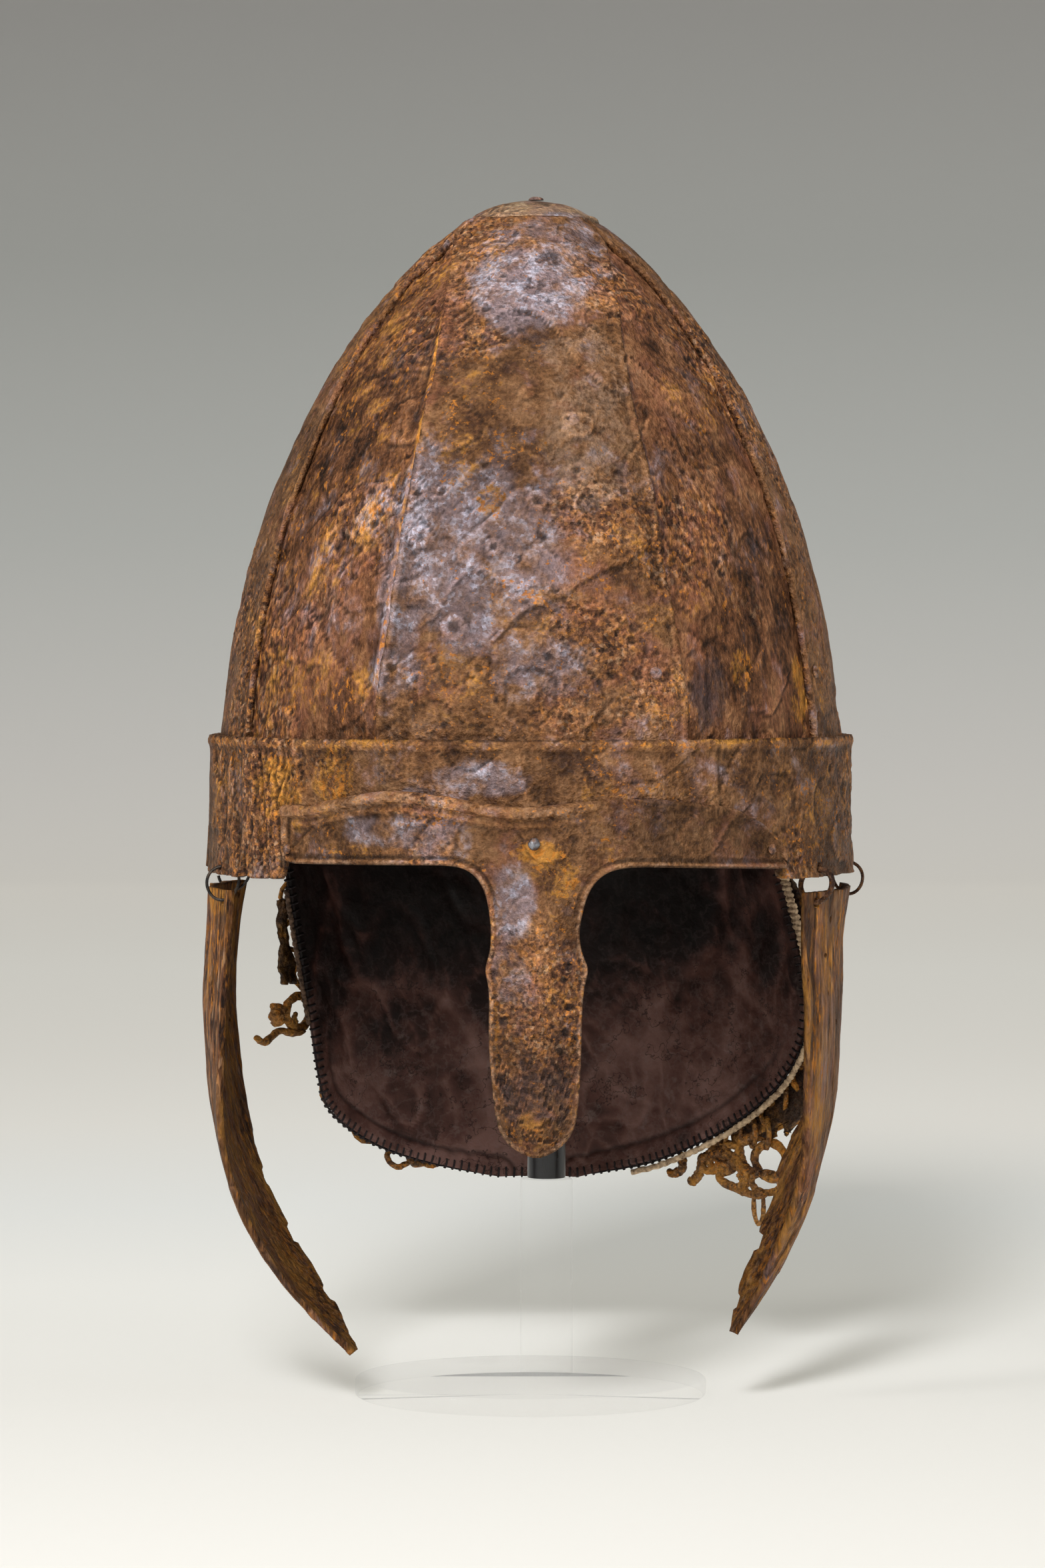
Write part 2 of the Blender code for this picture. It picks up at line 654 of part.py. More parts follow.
def make_cheekpiece(name, table, loop_angles, side, pinholes):
    """side is -1 on the left and 1 on the right. The origin is on the hinge line."""
    top, tip = table[0][0], table[-1][0]

    def place(column, row):
        part = row / CHEEK_ROWS
        height = tip + (top - tip) * part
        across = side * (2 * column / CHEEK_COLUMNS - 1)
        return cheek_point(table, across, height)

    sheet = mapped_grid(CHEEK_COLUMNS, CHEEK_ROWS, place)
    front, rear = (loop_centre(angle) for angle in loop_angles)
    hinge = (front + rear) / 2
    piece = add_object(name, sheet, "cheek iron", hinge)
    thicken(piece, CHEEK_WALL)

    outward = hinge_direction(loop_angles).cross(Vector((0, 0, 1)))
    cutters = bmesh.new()
    for centre in (front, rear):
        point = centre - Vector((0, 0, LOOP_RADIUS))
        add_drill(cutters, point, outward, LOOP_HOLE, 16 * MM, 8)
    for y, z in pinholes:
        front_y, rear_y = (smooth_between(table, z, column) for column in (4, 5))
        across = 2 * (y - front_y) / (rear_y - front_y) - 1
        add_drill(cutters, cheek_point(table, across, z), (1, 0, 0), CHEEK_PINHOLE, 16 * MM, 6)
    cut(piece, cutters)


def ring_solid(radius, half_width, half_thickness, steps, sides):
    """A ring about Z whose section is an oval."""
    profile = []
    for side in range(sides):
        turn = math.tau * (side + 0.5) / sides
        profile.append((radius + half_thickness * math.cos(turn), half_width * math.sin(turn)))
    return turned_solid(profile, steps, closed=True)


def make_hanging_loops():
    for side, angles in (("left", LEFT_LOOP_ANGLES), ("right", RIGHT_LOOP_ANGLES)):
        width = LOOP_WIRE if side == "left" else LOOP_WIRE * RIGHT_LOOP_WIDENING
        finish = "dark wire" if side == "left" else "brown loop"
        for place, angle in zip(("front", "rear"), angles):
            loop = ring_solid(LOOP_RADIUS, width, LOOP_WIRE, LOOP_STEPS, LOOP_SIDES)
            stand_on(loop, loop_centre(angle), hinge_direction(angles))
            add_object(f"loop_{side}_{place}", loop, finish)


# Neck curtain


def curtain_point(reach, height, radius):
    """reach is the angle from the back, positive to the right."""
    drop = max(RIM_Z - height, 0) / (RIM_Z - LEATHER_EDGES[-1][0])
    swell = math.sin(math.pi * min(drop * 1.1, 1)) * (max(reach, 0) / 60) ** 2
    fold = CURTAIN_FOLD * drop * math.sin(math.radians(reach * CURTAIN_FOLDS))
    radius = radius + CURTAIN_FLARE * swell + fold
    around = math.radians(reach)
    return Vector((radius * math.sin(around), radius * SKULL_DEPTH_RATIO * math.cos(around), height))


def mail_radius(height):
    """The mail's outer face: tucked inside the band at the top, then out past the band."""
    part = min(max((MAIL_EDGES[0][0] - height) / MAIL_EASE_HEIGHT, 0), 1)
    return MAIL_RADIUS + MAIL_EASE * (3 - 2 * part) * part**2


def make_curtain(name, edges, radius_at, wall, columns, finish):
    heights = sorted(row[0] for row in edges)

    def place(column, row):
        height = heights[row]
        left, right = -straight_between(edges, height, 1), straight_between(edges, height, 2)
        return curtain_point(right + (left - right) * column / columns, height, radius_at(height))

    thicken(add_object(name, mapped_grid(columns, len(heights) - 1, place), finish), wall)


def edge_route(column, heights, side):
    """Points just outside the leather's edge, down from the first height to the second."""
    high, low = heights
    levels = [row[0] for row in LEATHER_EDGES if low <= row[0] <= high]
    levels = sorted(set(levels) | {high, low}, reverse=True)
    fine = []
    for upper, lower in zip(levels, levels[1:]):
        fine += [upper + (lower - upper) * part / 3 for part in range(3)]
    fine.append(levels[-1])
    middle = LEATHER_RADIUS - LEATHER_WALL / 2
    flat = [
        Vector((math.radians(straight_between(LEATHER_EDGES, z, column)) * middle, z)) for z in fine
    ]
    route = []
    for index, point in enumerate(flat):
        along = flat[min(index + 1, len(flat) - 1)] - flat[max(index - 1, 0)]
        outside = Vector((-along.y, along.x)).normalized() * PIPING_OFFSET
        moved = point + outside
        route.append(curtain_point(side * math.degrees(moved.x / middle), moved.y, middle))
    return route


def make_edge_cord(name, route):
    curve = bpy.data.curves.new(name, "CURVE")
    curve.dimensions = "3D"
    curve.bevel_depth = PIPING_RADIUS
    curve.bevel_resolution = 1
    curve.use_fill_caps = True
    spline = curve.splines.new("POLY")
    spline.points.add(len(route) - 1)
    for point, place in zip(spline.points, route):
        point.co = (*place, 1)
    curve.materials.append(finish_material(name, "edge cord"))
    bpy.context.collection.objects.link(bpy.data.objects.new(name, curve))


def make_fringe():
    """Loose rings past the curtain's edge. Each passes through its neighbours above and below."""
    number = 0
    for row, first, last in FRINGE:
        height = RING_TOP_Z - RING_ROW_PITCH * row
        middle = mail_radius(height) - MAIL_WALL / 2
        for column in range(first, last + 1):
            number += 1
            reach = RING_COLUMN_ANGLE * (column + 0.5 * (row % 2))
            centre = curtain_point(reach, height, middle)
            beside = curtain_point(reach + 0.1, height, middle) - centre
            outward = Vector((0, 0, 1)).cross(beside).normalized()
            turn = RING_TURN if row % 2 else -RING_TURN
            normal = Matrix.Rotation(math.radians(turn), 3, "Z") @ outward
            link = ring_solid(RING_RADIUS, RING_WIRE, RING_WIRE, RING_STEPS, RING_SIDES)
            add_object(f"mail_ring_{number:02d}", stand_on(link, centre, normal), "mail")


# Display stand


def make_stand():
    bevel = 0.8 * MM
    foot = turned_solid(
        [
            (0, 0),
            (FOOT_RADIUS - bevel, 0),
            (FOOT_RADIUS, bevel),
            (FOOT_RADIUS, FOOT_HEIGHT - bevel),
            (FOOT_RADIUS - bevel, FOOT_HEIGHT),
            (0, FOOT_HEIGHT),
        ],
        40,
    )
    add_object("stand_foot", foot, "clear acrylic")

    def bar(radius, low, high):
        solid = turned_solid([(0, low), (radius, low), (radius, high), (0, high)], 16)
        bmesh.ops.translate(solid, verts=solid.verts, vec=(POST_X, POST_Y, 0))
        return solid

    stem = bar(STEM_RADIUS, FOOT_HEIGHT + GAP, POST_FOOT_Z - GAP)
    add_object("stand_stem", stem, "clear acrylic")
    add_object("stand_post", bar(POST_RADIUS, POST_FOOT_Z, PAD_FOOT_Z - GAP), "black post")

    def pad_radius(height):
        return skull_point(90, turn_at_height(height)).x - PAD_CLEARANCE

    rise = PAD_TOP_Z - PAD_FOOT_Z
    heights = [PAD_FOOT_Z + rise * part for part in (0, 0.5, 0.85, 1)]
    shave = [0, 0, 0.5 * MM, 4 * MM]
    profile = [(0, PAD_FOOT_Z)]
    profile += [(pad_radius(height) - less, height) for height, less in zip(heights, shave)]
    profile += [(0, PAD_TOP_Z)]
    add_object("stand_pad", turned_solid(profile, 20), "pad felt")


clear_scene()
make_outer_plate("front_plate", 0)
make_outer_plate("right_plate", 90)
make_outer_plate("back_plate", 180)
make_outer_plate("left_plate", 270)
make_under_plate("front_right_plate", 0)
make_under_plate("back_right_plate", 90)
make_under_plate("back_left_plate", 180)
make_under_plate("front_left_plate", 270)
make_seam_rivets()
make_crown()
make_band()
make_brow_plate()
make_hanging_loops()
make_cheekpiece("cheekpiece_left", LEFT_CHEEK, LEFT_LOOP_ANGLES, -1, LEFT_CHEEK_PINHOLES)
make_cheekpiece("cheekpiece_right", RIGHT_CHEEK, RIGHT_LOOP_ANGLES, 1, RIGHT_CHEEK_PINHOLES)
make_curtain(
    "neck_curtain_leather",
    LEATHER_EDGES,
    lambda height: LEATHER_RADIUS,
    LEATHER_WALL,
    LEATHER_COLUMNS,
    "curtain leather",
)
make_curtain("neck_curtain_mail", MAIL_EDGES, mail_radius, MAIL_WALL, MAIL_COLUMNS, "mail")
make_edge_cord("edge_piping_right", edge_route(2, RIGHT_PIPING_HEIGHTS, 1))
make_edge_cord("whipped_edge_right", edge_route(2, RIGHT_WHIPPING_HEIGHTS, 1))
make_edge_cord("whipped_edge_left", edge_route(1, LEFT_WHIPPING_HEIGHTS, -1))
make_fringe()
make_stand()
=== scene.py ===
# A rusted helmet of lapped iron plates, with its cheekpieces and neck curtain, on a display stand.
# Metres, +Z up, and the front faces -Y. Left and right are as seen from the front.
import math

import bmesh
import bpy
import numpy as np
from mathutils import Matrix, Vector, kdtree, noise


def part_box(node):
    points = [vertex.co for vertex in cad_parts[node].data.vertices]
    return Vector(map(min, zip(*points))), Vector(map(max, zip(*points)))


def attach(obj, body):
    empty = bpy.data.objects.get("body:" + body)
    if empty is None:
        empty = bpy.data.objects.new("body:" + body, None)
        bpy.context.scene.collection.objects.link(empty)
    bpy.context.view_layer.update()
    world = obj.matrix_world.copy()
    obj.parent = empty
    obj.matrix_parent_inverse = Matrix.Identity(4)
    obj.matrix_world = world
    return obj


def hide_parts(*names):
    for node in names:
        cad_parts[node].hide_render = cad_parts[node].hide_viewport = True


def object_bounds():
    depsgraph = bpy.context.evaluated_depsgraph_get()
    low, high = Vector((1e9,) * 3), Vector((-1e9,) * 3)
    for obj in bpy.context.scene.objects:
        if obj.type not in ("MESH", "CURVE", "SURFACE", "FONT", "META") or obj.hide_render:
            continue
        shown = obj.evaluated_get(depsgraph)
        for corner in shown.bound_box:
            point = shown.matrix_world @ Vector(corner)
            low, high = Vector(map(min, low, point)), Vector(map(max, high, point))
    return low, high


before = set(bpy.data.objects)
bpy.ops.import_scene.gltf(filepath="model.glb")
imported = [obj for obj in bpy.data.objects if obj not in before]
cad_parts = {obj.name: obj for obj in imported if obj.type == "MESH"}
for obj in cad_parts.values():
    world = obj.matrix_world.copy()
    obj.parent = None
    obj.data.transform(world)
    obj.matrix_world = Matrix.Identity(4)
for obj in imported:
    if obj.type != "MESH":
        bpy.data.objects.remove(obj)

mm = 0.001
cadLow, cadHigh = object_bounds()
bandLow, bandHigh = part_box("brow_band")
rimHeight = bandLow.z - 1 * mm
print("frame loaded,", len(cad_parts), "nodes")

# Small tools


def smoothStep(low, high, value):  # from 0 up to 1
    part = min(max((value - low) / (high - low), 0), 1)
    return part * part * (3 - 2 * part)


def fade(low, high, value):  # the other way, from 1 down to 0
    return 1 - smoothStep(low, high, value)


def waver(x, y, z):
    return noise.noise(Vector((x, y, z)))


def hump(away, width):  # a bell curve, 1 at its middle
    return math.exp(-((away / width) ** 2))


def boxCentre(node):
    low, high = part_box(node)
    return (low + high) / 2


def readRow(table, key, column):  # a column's value at a key, on a smooth curve through the rows
    rows = sorted(table)
    key = min(max(key, rows[0][0]), rows[-1][0])
    last = len(rows) - 2
    index = min(max(sum(row[0] <= key for row in rows) - 1, 0), last)
    low, high = rows[index], rows[index + 1]
    before, after = rows[max(index - 1, 0)], rows[min(index + 2, last + 1)]
    span = high[0] - low[0]
    slopeLow = (high[column] - before[column]) / (high[0] - before[0])
    slopeHigh = (after[column] - low[column]) / (after[0] - low[0])
    part = (key - low[0]) / span
    return (
        (2 * part**3 - 3 * part**2 + 1) * low[column]
        + (part**3 - 2 * part**2 + part) * span * slopeLow
        + (3 * part**2 - 2 * part**3) * high[column]
        + (part**3 - part**2) * span * slopeHigh
    )


def gridSheet(columns, rows, place):  # a grid whose corner (0..1, 0..1) goes to place(across, up)
    sheet = bmesh.new()
    bmesh.ops.create_grid(sheet, x_segments=columns, y_segments=rows, size=0.5)
    for vertex in sheet.verts:
        vertex.co = place(vertex.co.x + 0.5, vertex.co.y + 0.5)
    return sheet


def tube(route, radiusAt, sides, closed=False):  # radiusAt(part along, turn round) in metres
    steps = len(route) if closed else len(route) - 1
    frames = []
    across = None
    for index, point in enumerate(route):
        after = route[(index + 1) % len(route)] if closed else route[min(index + 1, steps)]
        before = route[index - 1] if closed else route[max(index - 1, 0)]
        along = (after - before).normalized()
        if across is None:
            across = along.orthogonal().normalized()
        across = (across - along * across.dot(along)).normalized()
        frames.append((point, across, along.cross(across)))

    def place(around, up):
        index = round(up * steps)
        point, side, other = frames[index % len(route)]
        turn = math.tau * around
        radius = radiusAt(up, turn)
        return point + (side * math.cos(turn) + other * math.sin(turn)) * radius

    made = gridSheet(sides, steps, place)
    bmesh.ops.remove_doubles(made, verts=made.verts, dist=1e-7)
    ends = [edge for edge in made.edges if edge.is_boundary]
    if ends:
        bmesh.ops.holes_fill(made, edges=ends, sides=sides)
    bmesh.ops.recalc_face_normals(made, faces=made.faces)
    return made


def turned(profile, steps):  # spins (radius, height) pairs about Z
    solid = bmesh.new()
    points = [solid.verts.new((radius, 0, height)) for radius, height in profile]
    edges = [solid.edges.new(pair) for pair in zip(points, points[1:])]
    bmesh.ops.spin(
        solid, geom=points + edges, cent=(0, 0, 0), axis=(0, 0, 1), angle=math.tau, steps=steps, use_merge=True
    )
    bmesh.ops.remove_doubles(solid, verts=solid.verts, dist=1e-6)
    bmesh.ops.recalc_face_normals(solid, faces=solid.faces)
    return solid


def linked(name, data):  # an object in the scene
    made = bpy.data.objects.new(name, data)
    bpy.context.scene.collection.objects.link(made)
    return made


def meshFrom(name, made):  # a mesh from a bmesh, which it frees
    mesh = bpy.data.meshes.new(name)
    made.to_mesh(mesh)
    made.free()
    return mesh


def join(target, made):  # adds a bmesh to another one, and frees it
    mesh = meshFrom("joined", made)
    target.from_mesh(mesh)
    bpy.data.meshes.remove(mesh)


def pieceFrom(name, made, finish, body, replaced):
    mesh = meshFrom(name, made)
    mesh.shade_smooth()
    mesh.materials.append(materials[finish])
    piece = linked(name, mesh)
    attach(piece, body)
    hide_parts(*replaced)
    return piece


def punchHole(sheet, centre, radius):  # opens a round hole in a sheet
    near = [face for face in sheet.faces if (face.calc_center_median() - centre).length < radius]
    bmesh.ops.delete(sheet, geom=near, context="FACES")
    for vertex in sheet.verts:
        away = vertex.co - centre
        if vertex.is_boundary and away.length < radius * 1.8:
            vertex.co = centre + away.normalized() * radius


# Materials


def addNode(tree, kind, **settings):
    made = tree.nodes.new("ShaderNode" + kind)
    for name, value in settings.items():
        setattr(made, name, value)
    return made


def startMaterial(name, roughness=0.6, metallic=0.0, specular=0.5):
    material = bpy.data.materials.new(name)
    material.use_nodes = True
    shader = material.node_tree.nodes["Principled BSDF"]
    shader.inputs["Roughness"].default_value = roughness
    shader.inputs["Metallic"].default_value = metallic
    shader.inputs["Specular IOR Level"].default_value = specular
    materials[name] = material
    return material.node_tree, shader


def objectPlace(tree, stretch=(1, 1, 1)):
    place = addNode(tree, "TexCoord")
    mapping = addNode(tree, "Mapping")
    mapping.inputs["Scale"].default_value = stretch
    tree.links.new(place.outputs["Object"], mapping.inputs["Vector"])
    return mapping.outputs["Vector"]


def noiseAt(tree, place, scale, detail=6, roughness=0.6, distortion=0.0):
    texture = addNode(tree, "TexNoise")
    tree.links.new(place, texture.inputs["Vector"])
    settings = {"Scale": scale, "Detail": detail, "Roughness": roughness, "Distortion": distortion}
    for name, value in settings.items():
        texture.inputs[name].default_value = value
    return texture.outputs[0]


def channels(tree, colour):
    split = addNode(tree, "SeparateColor")
    tree.links.new(colour, split.inputs["Color"])
    return list(split.outputs)


def threeNoises(tree, place, scale, detail, roughness, distortion=0.0):  # three fields from one texture
    first = noiseAt(tree, place, scale, detail, roughness, distortion)
    return channels(tree, first.node.outputs["Color"])


def grainsAt(tree, place, scale):  # random values for each crumb of rust
    texture = addNode(tree, "TexVoronoi")
    texture.inputs["Scale"].default_value = scale
    tree.links.new(place, texture.inputs["Vector"])
    return channels(tree, texture.outputs["Color"])


def toneChannels(tree):  # what the sheet's vertices say about its wear and painted light
    wear_and_painted_light = addNode(tree, "Attribute", attribute_name="wear_and_painted_light")
    return (*channels(tree, wear_and_painted_light.outputs["Color"]), wear_and_painted_light.outputs["Alpha"])


def spread(tree, value, low, high, bottom=0.0, top=1.0):  # a smooth ramp from low to high
    ramp = addNode(tree, "MapRange", interpolation_type="SMOOTHSTEP")
    tree.links.new(value, ramp.inputs["Value"])
    for name, number in (("From Min", low), ("From Max", high), ("To Min", bottom), ("To Max", top)):
        ramp.inputs[name].default_value = number
    return ramp.outputs["Result"]


def combine(tree, operation, first, second):
    made = addNode(tree, "Math", operation=operation)
    for socket, value in zip(made.inputs, (first, second)):
        if isinstance(value, (int, float)):
            socket.default_value = value
        else:
            tree.links.new(value, socket)
    return made.outputs[0]


def share(tree, value, part):
    return combine(tree, "MULTIPLY", value, part)


def weigh(tree, *terms):  # the sum of (value, weight) pairs
    total, *others = (share(tree, *term) for term in terms)
    for other in others:
        total = combine(tree, "ADD", total, other)
    return total


def blendColour(tree, factor, first, second, mode="MIX"):
    made = addNode(tree, "Mix", data_type="RGBA", blend_type=mode)
    sockets = [socket for socket in made.inputs if socket.enabled]
    for socket, value in zip(sockets, (factor, first, second)):
        if isinstance(value, (int, float)):
            socket.default_value = value
        elif isinstance(value, tuple):
            socket.default_value = (*value, 1)
        else:
            tree.links.new(value, socket)
    return [socket for socket in made.outputs if socket.enabled][0]


def ramp(tree, value, stops):  # colours at places from 0 to 1
    made = addNode(tree, "ValToRGB")
    tree.links.new(value, made.inputs["Fac"])
    elements = made.color_ramp.elements
    while len(elements) < len(stops):
        elements.new(0.5)
    for element, (place, colour) in zip(elements, stops):
        element.position = place
        element.color = (*colour, 1)
    return made.outputs["Color"]


def addBump(tree, shader, height, distance, strength=1.0):
    bump = addNode(tree, "Bump")
    bump.inputs["Distance"].default_value = distance
    bump.inputs["Strength"].default_value = strength
    tree.links.new(height, bump.inputs["Height"])
    tree.links.new(bump.outputs["Normal"], shader.inputs["Normal"])


materials = {}

# Rusts: four browns from deep to light, then the tones that lie over them in patches; the sheen is bare metal
# with a painted sheen, and the glint a painted highlight
rust = {
    "brownStops": (0.40, 0.465, 0.525, 0.60),
    "browns": ((0.048, 0.0195, 0.0085), (0.095, 0.0415, 0.0155), (0.153, 0.0715, 0.030), (0.210, 0.108, 0.051)),
    "grains": (
        (0.05, (0.026, 0.011, 0.009)),
        (0.28, (0.085, 0.032, 0.018)),
        (0.52, (0.18, 0.074, 0.034)),
        (0.80, (0.34, 0.130, 0.026)),
        (0.97, (0.30, 0.185, 0.115)),
    ),
    "red": (0.165, 0.059, 0.030),
    "fleck": (0.38, 0.135, 0.018),
    "metal_and_painted_sheen": (0.205, 0.155, 0.165),
    "painted_glint": (0.43, 0.43, 0.52),
    "ochre": (0.36, 0.160, 0.026),
    "dark": (0.034, 0.021, 0.021),
    "pale": (0.29, 0.175, 0.108),
    "roughness": 0.50,
    "specular": 0.14,
    "grainShare": 0.58,
}


def makeRust(name, changes, stretch):
    tones = {**rust, **changes}
    tree, shader = startMaterial(name, specular=tones["specular"])
    place = objectPlace(tree, (1, 1, stretch))
    metalAndPaintedSheenWear, ochreWear, darkWear, paleWear = toneChannels(tree)
    broad = noiseAt(tree, place, 26, 3, 0.5)
    clouds = threeNoises(tree, place, 105, 5, 0.64, 0.3)
    crumbs = threeNoises(tree, place, 620, 3, 0.62)
    grain, otherGrain, _ = grainsAt(tree, place, 780)
    roughness = addNode(tree, "Attribute", attribute_name="rough").outputs["Fac"]

    def patch(field, other, wearSocket, weight, low, high, strength):  # a worn patch with a broken edge
        value = weigh(tree, (field, 0.6), (other, 0.4), (wearSocket, weight))
        return spread(tree, value, low, high, 0, strength)

    redMask = spread(tree, weigh(tree, (clouds[2], 0.5), (broad, 0.5)), 0.50, 0.60, 0, 0.55)
    paleMask = patch(clouds[1], crumbs[1], paleWear, 0.26, 0.58, 0.80, 0.75)
    # bare metal patches: metallic and smoother, and painted lighter as a sheen where the lamps reflect
    metalAndPaintedSheenMask = patch(clouds[2], clouds[1], metalAndPaintedSheenWear, 0.25, 0.52, 0.84, 0.85)
    # painted glints: bluish-white specks of painted highlight inside the sheen patches
    paintedGlints = spread(tree, weigh(tree, (clouds[0], 0.75), (otherGrain, 0.13)), 0.42, 0.56, 0, 0.75)
    ochreMask = patch(clouds[0], crumbs[2], ochreWear, 0.26, 0.62, 0.78, 0.8)
    fleckMask = patch(crumbs[1], clouds[1], ochreWear, 0.10, 0.60, 0.66, 0.8)
    darkMask = patch(clouds[1], crumbs[2], darkWear, 0.24, 0.62, 0.80, 0.75)

    mixed = weigh(tree, (clouds[0], 0.5), (broad, 0.25), (crumbs[0], 0.25))
    colour = ramp(tree, mixed, tuple(zip(tones["brownStops"], tones["browns"])))
    crumbly = share(tree, roughness, tones["grainShare"])
    colour = blendColour(tree, crumbly, colour, ramp(tree, grain, tones["grains"]))
    overlays = {
        "red": redMask,
        "pale": paleMask,
        "metal_and_painted_sheen": metalAndPaintedSheenMask,
        "painted_glint": share(tree, metalAndPaintedSheenMask, paintedGlints),
        "ochre": ochreMask,
        "fleck": fleckMask,
        "dark": darkMask,
    }
    for tone, mask in overlays.items():
        colour = blendColour(tree, mask, colour, tones[tone])
    pits = spread(tree, crumbs[2], 0.34, 0.43, 0.45, 1.0)
    shade = share(tree, pits, spread(tree, crumbs[0], 0.35, 0.65, 0.64, 1.38))
    shade = share(tree, combine(tree, "SUBTRACT", shade, 1), spread(tree, roughness, 0, 1, 0.35, 1.2))
    paintedShading = addNode(tree, "Attribute", attribute_name="paintedShading").outputs["Fac"]
    # painted shading: darker in the relief's hollows and on inner faces, lighter on raised edges
    shade = share(tree, combine(tree, "ADD", shade, 1), spread(tree, paintedShading, 0.12, 0.88, 0.42, 1.6))
    colour = blendColour(tree, 1.0, colour, shade, "MULTIPLY")
    tree.links.new(colour, shader.inputs["Base Color"])

    tree.links.new(share(tree, metalAndPaintedSheenMask, 0.5), shader.inputs["Metallic"])
    dull = combine(tree, "MAXIMUM", ochreMask, fleckMask)
    rough = weigh(tree, (crumbs[1], 0.30), (dull, 0.25))
    rough = combine(tree, "ADD", rough, tones["roughness"] - 0.15)
    rough = combine(tree, "SUBTRACT", rough, share(tree, metalAndPaintedSheenMask, 0.16))
    tree.links.new(rough, shader.inputs["Roughness"])
    addBump(tree, shader, weigh(tree, (crumbs[0], 1.0), (clouds[0], 1.4)), 2.0 * mm, 0.9)


leather = {
    "browns": (
        (0.34, (0.0038, 0.0012, 0.0009)),
        (0.44, (0.0130, 0.0042, 0.0032)),
        (0.56, (0.082, 0.0345, 0.0265)),
        (0.68, (0.165, 0.085, 0.070)),
    ),
    "scuffed_in_painted_light": (0.17, 0.115, 0.105),
    "worn": (0.20, 0.14, 0.13),
    "cracked": (0.010, 0.005, 0.004),
    "creased": (0.006, 0.003, 0.003),
}


def makeLeather():
    tree, shader = startMaterial("curtain leather", 0.5, 0, 0.18)
    place = objectPlace(tree)
    paintedLightLowDown, ridge, crease, _ = toneChannels(tree)
    cloud = threeNoises(tree, place, 34, 5, 0.62)
    fine = threeNoises(tree, place, 150, 4, 0.6, 0.15)
    # painted light and shade: darker high up under the skull, lighter low down, to the right and on wrinkle
    # crests
    mixed = weigh(tree, (cloud[0], 0.45), (fine[0], 0.2), (paintedLightLowDown, 0.22), (ridge, 0.20))
    colour = ramp(tree, mixed, leather["browns"])
    # scuffs: lighter patches that show only low down, where the light is painted
    scuffsInPaintedLight = share(tree, spread(tree, fine[1], 0.58, 0.72, 0, 0.45), paintedLightLowDown)
    colour = blendColour(tree, scuffsInPaintedLight, colour, leather["scuffed_in_painted_light"])

    def lines(field, width, strength):  # thin lines where a field crosses its middle
        away = combine(tree, "ABSOLUTE", combine(tree, "SUBTRACT", field, 0.5), 0)
        return spread(tree, away, 0.0, width, strength, 0)

    # worn lines, stronger low down where the light is painted
    worn = share(tree, lines(fine[2], 0.05, 0.14), spread(tree, paintedLightLowDown, 0, 0.7, 0.25, 1))
    colour = blendColour(tree, worn, colour, leather["worn"])
    colour = blendColour(tree, lines(cloud[2], 0.007, 0.7), colour, leather["cracked"])
    # painted shade: a dark line along the crease just inside the leather's edge, low down
    colour = blendColour(tree, share(tree, crease, 0.85), colour, leather["creased"])
    tree.links.new(colour, shader.inputs["Base Color"])
    tree.links.new(spread(tree, cloud[1], 0.35, 0.65, 0.40, 0.62), shader.inputs["Roughness"])
    addBump(tree, shader, weigh(tree, (fine[0], 1.0), (cloud[2], 0.8)), 0.8 * mm, 0.8)


# Plain finishes: roughness, metallic and specular; the rub's stretch, scale, detail and roughness; its
# colours by place; and the bump's depth and strength
plainFinishes = {
    "bare rivet": (
        (0.38, 0.8, 0.5),
        (1, 420, 6, 0.65),
        ((0.38, (0.10, 0.055, 0.035)), (0.50, (0.15, 0.15, 0.165)), (0.66, (0.34, 0.35, 0.38))),
        (0.4 * mm, 0.8),
    ),
    "dark wire": (
        (0.42, 0.55, 0.5),
        (1, 500, 5, 0.6),
        ((0.42, (0.012, 0.011, 0.011)), (0.7, (0.075, 0.05, 0.034))),
        (0.2 * mm, 0.6),
    ),
    "black post": (
        (0.3, 0.0, 0.5),
        (0.08, 700, 4, 0.5),
        ((0.3, (0.006, 0.006, 0.007)), (0.8, (0.013, 0.013, 0.015))),
        None,
    ),
    "pad felt": (
        (0.95, 0, 0.1),
        (1, 1100, 6, 0.75),
        ((0.3, (0.008, 0.008, 0.009)), (0.7, (0.035, 0.034, 0.036))),
        (0.5 * mm, 1.0),
    ),
    "pale cord": (
        (0.85, 0, 0.2),
        (1, 420, 5, 0.7),
        ((0.34, (0.11, 0.060, 0.034)), (0.6, (0.60, 0.44, 0.28))),
        (0.3 * mm, 0.8),
    ),
    "brown cord": (
        (0.85, 0, 0.2),
        (1, 500, 5, 0.7),
        ((0.34, (0.010, 0.006, 0.005)), (0.6, (0.13, 0.078, 0.050))),
        (0.3 * mm, 0.8),
    ),
    "dark thread": (
        (0.85, 0, 0.2),
        (1, 900, 5, 0.7),
        ((0.34, (0.006, 0.005, 0.006)), (0.6, (0.030, 0.022, 0.022))),
        (0.3 * mm, 0.8),
    ),
}


def makePlainFinishes():
    for name, (gloss, (stretch, scale, detail, roughness), stops, bump) in plainFinishes.items():
        tree, shader = startMaterial(name, *gloss)
        rub = noiseAt(tree, objectPlace(tree, (1, 1, stretch)), scale, detail, roughness)
        tree.links.new(ramp(tree, rub, stops), shader.inputs["Base Color"])
        if bump:
            addBump(tree, shader, rub, *bump)
        else:  # the post's brushed paint
            tree.links.new(spread(tree, rub, 0.3, 0.7, 0.26, 0.38), shader.inputs["Roughness"])


def makeAcrylic():
    tree, shader = startMaterial("clear acrylic", 0.04, 0, 0.5)
    shader.inputs["Base Color"].default_value = (0.86, 0.87, 0.86, 1)
    haze = noiseAt(tree, objectPlace(tree), 60, 3, 0.5)
    tree.links.new(spread(tree, haze, 0.3, 0.7, 0.03, 0.09), shader.inputs["Roughness"])
    rim = addNode(tree, "LayerWeight")
    rim.inputs["Blend"].default_value = 0.2
    tree.links.new(spread(tree, rim.outputs["Facing"], 0.2, 1.0, 0.02, 0.30), shader.inputs["Alpha"])


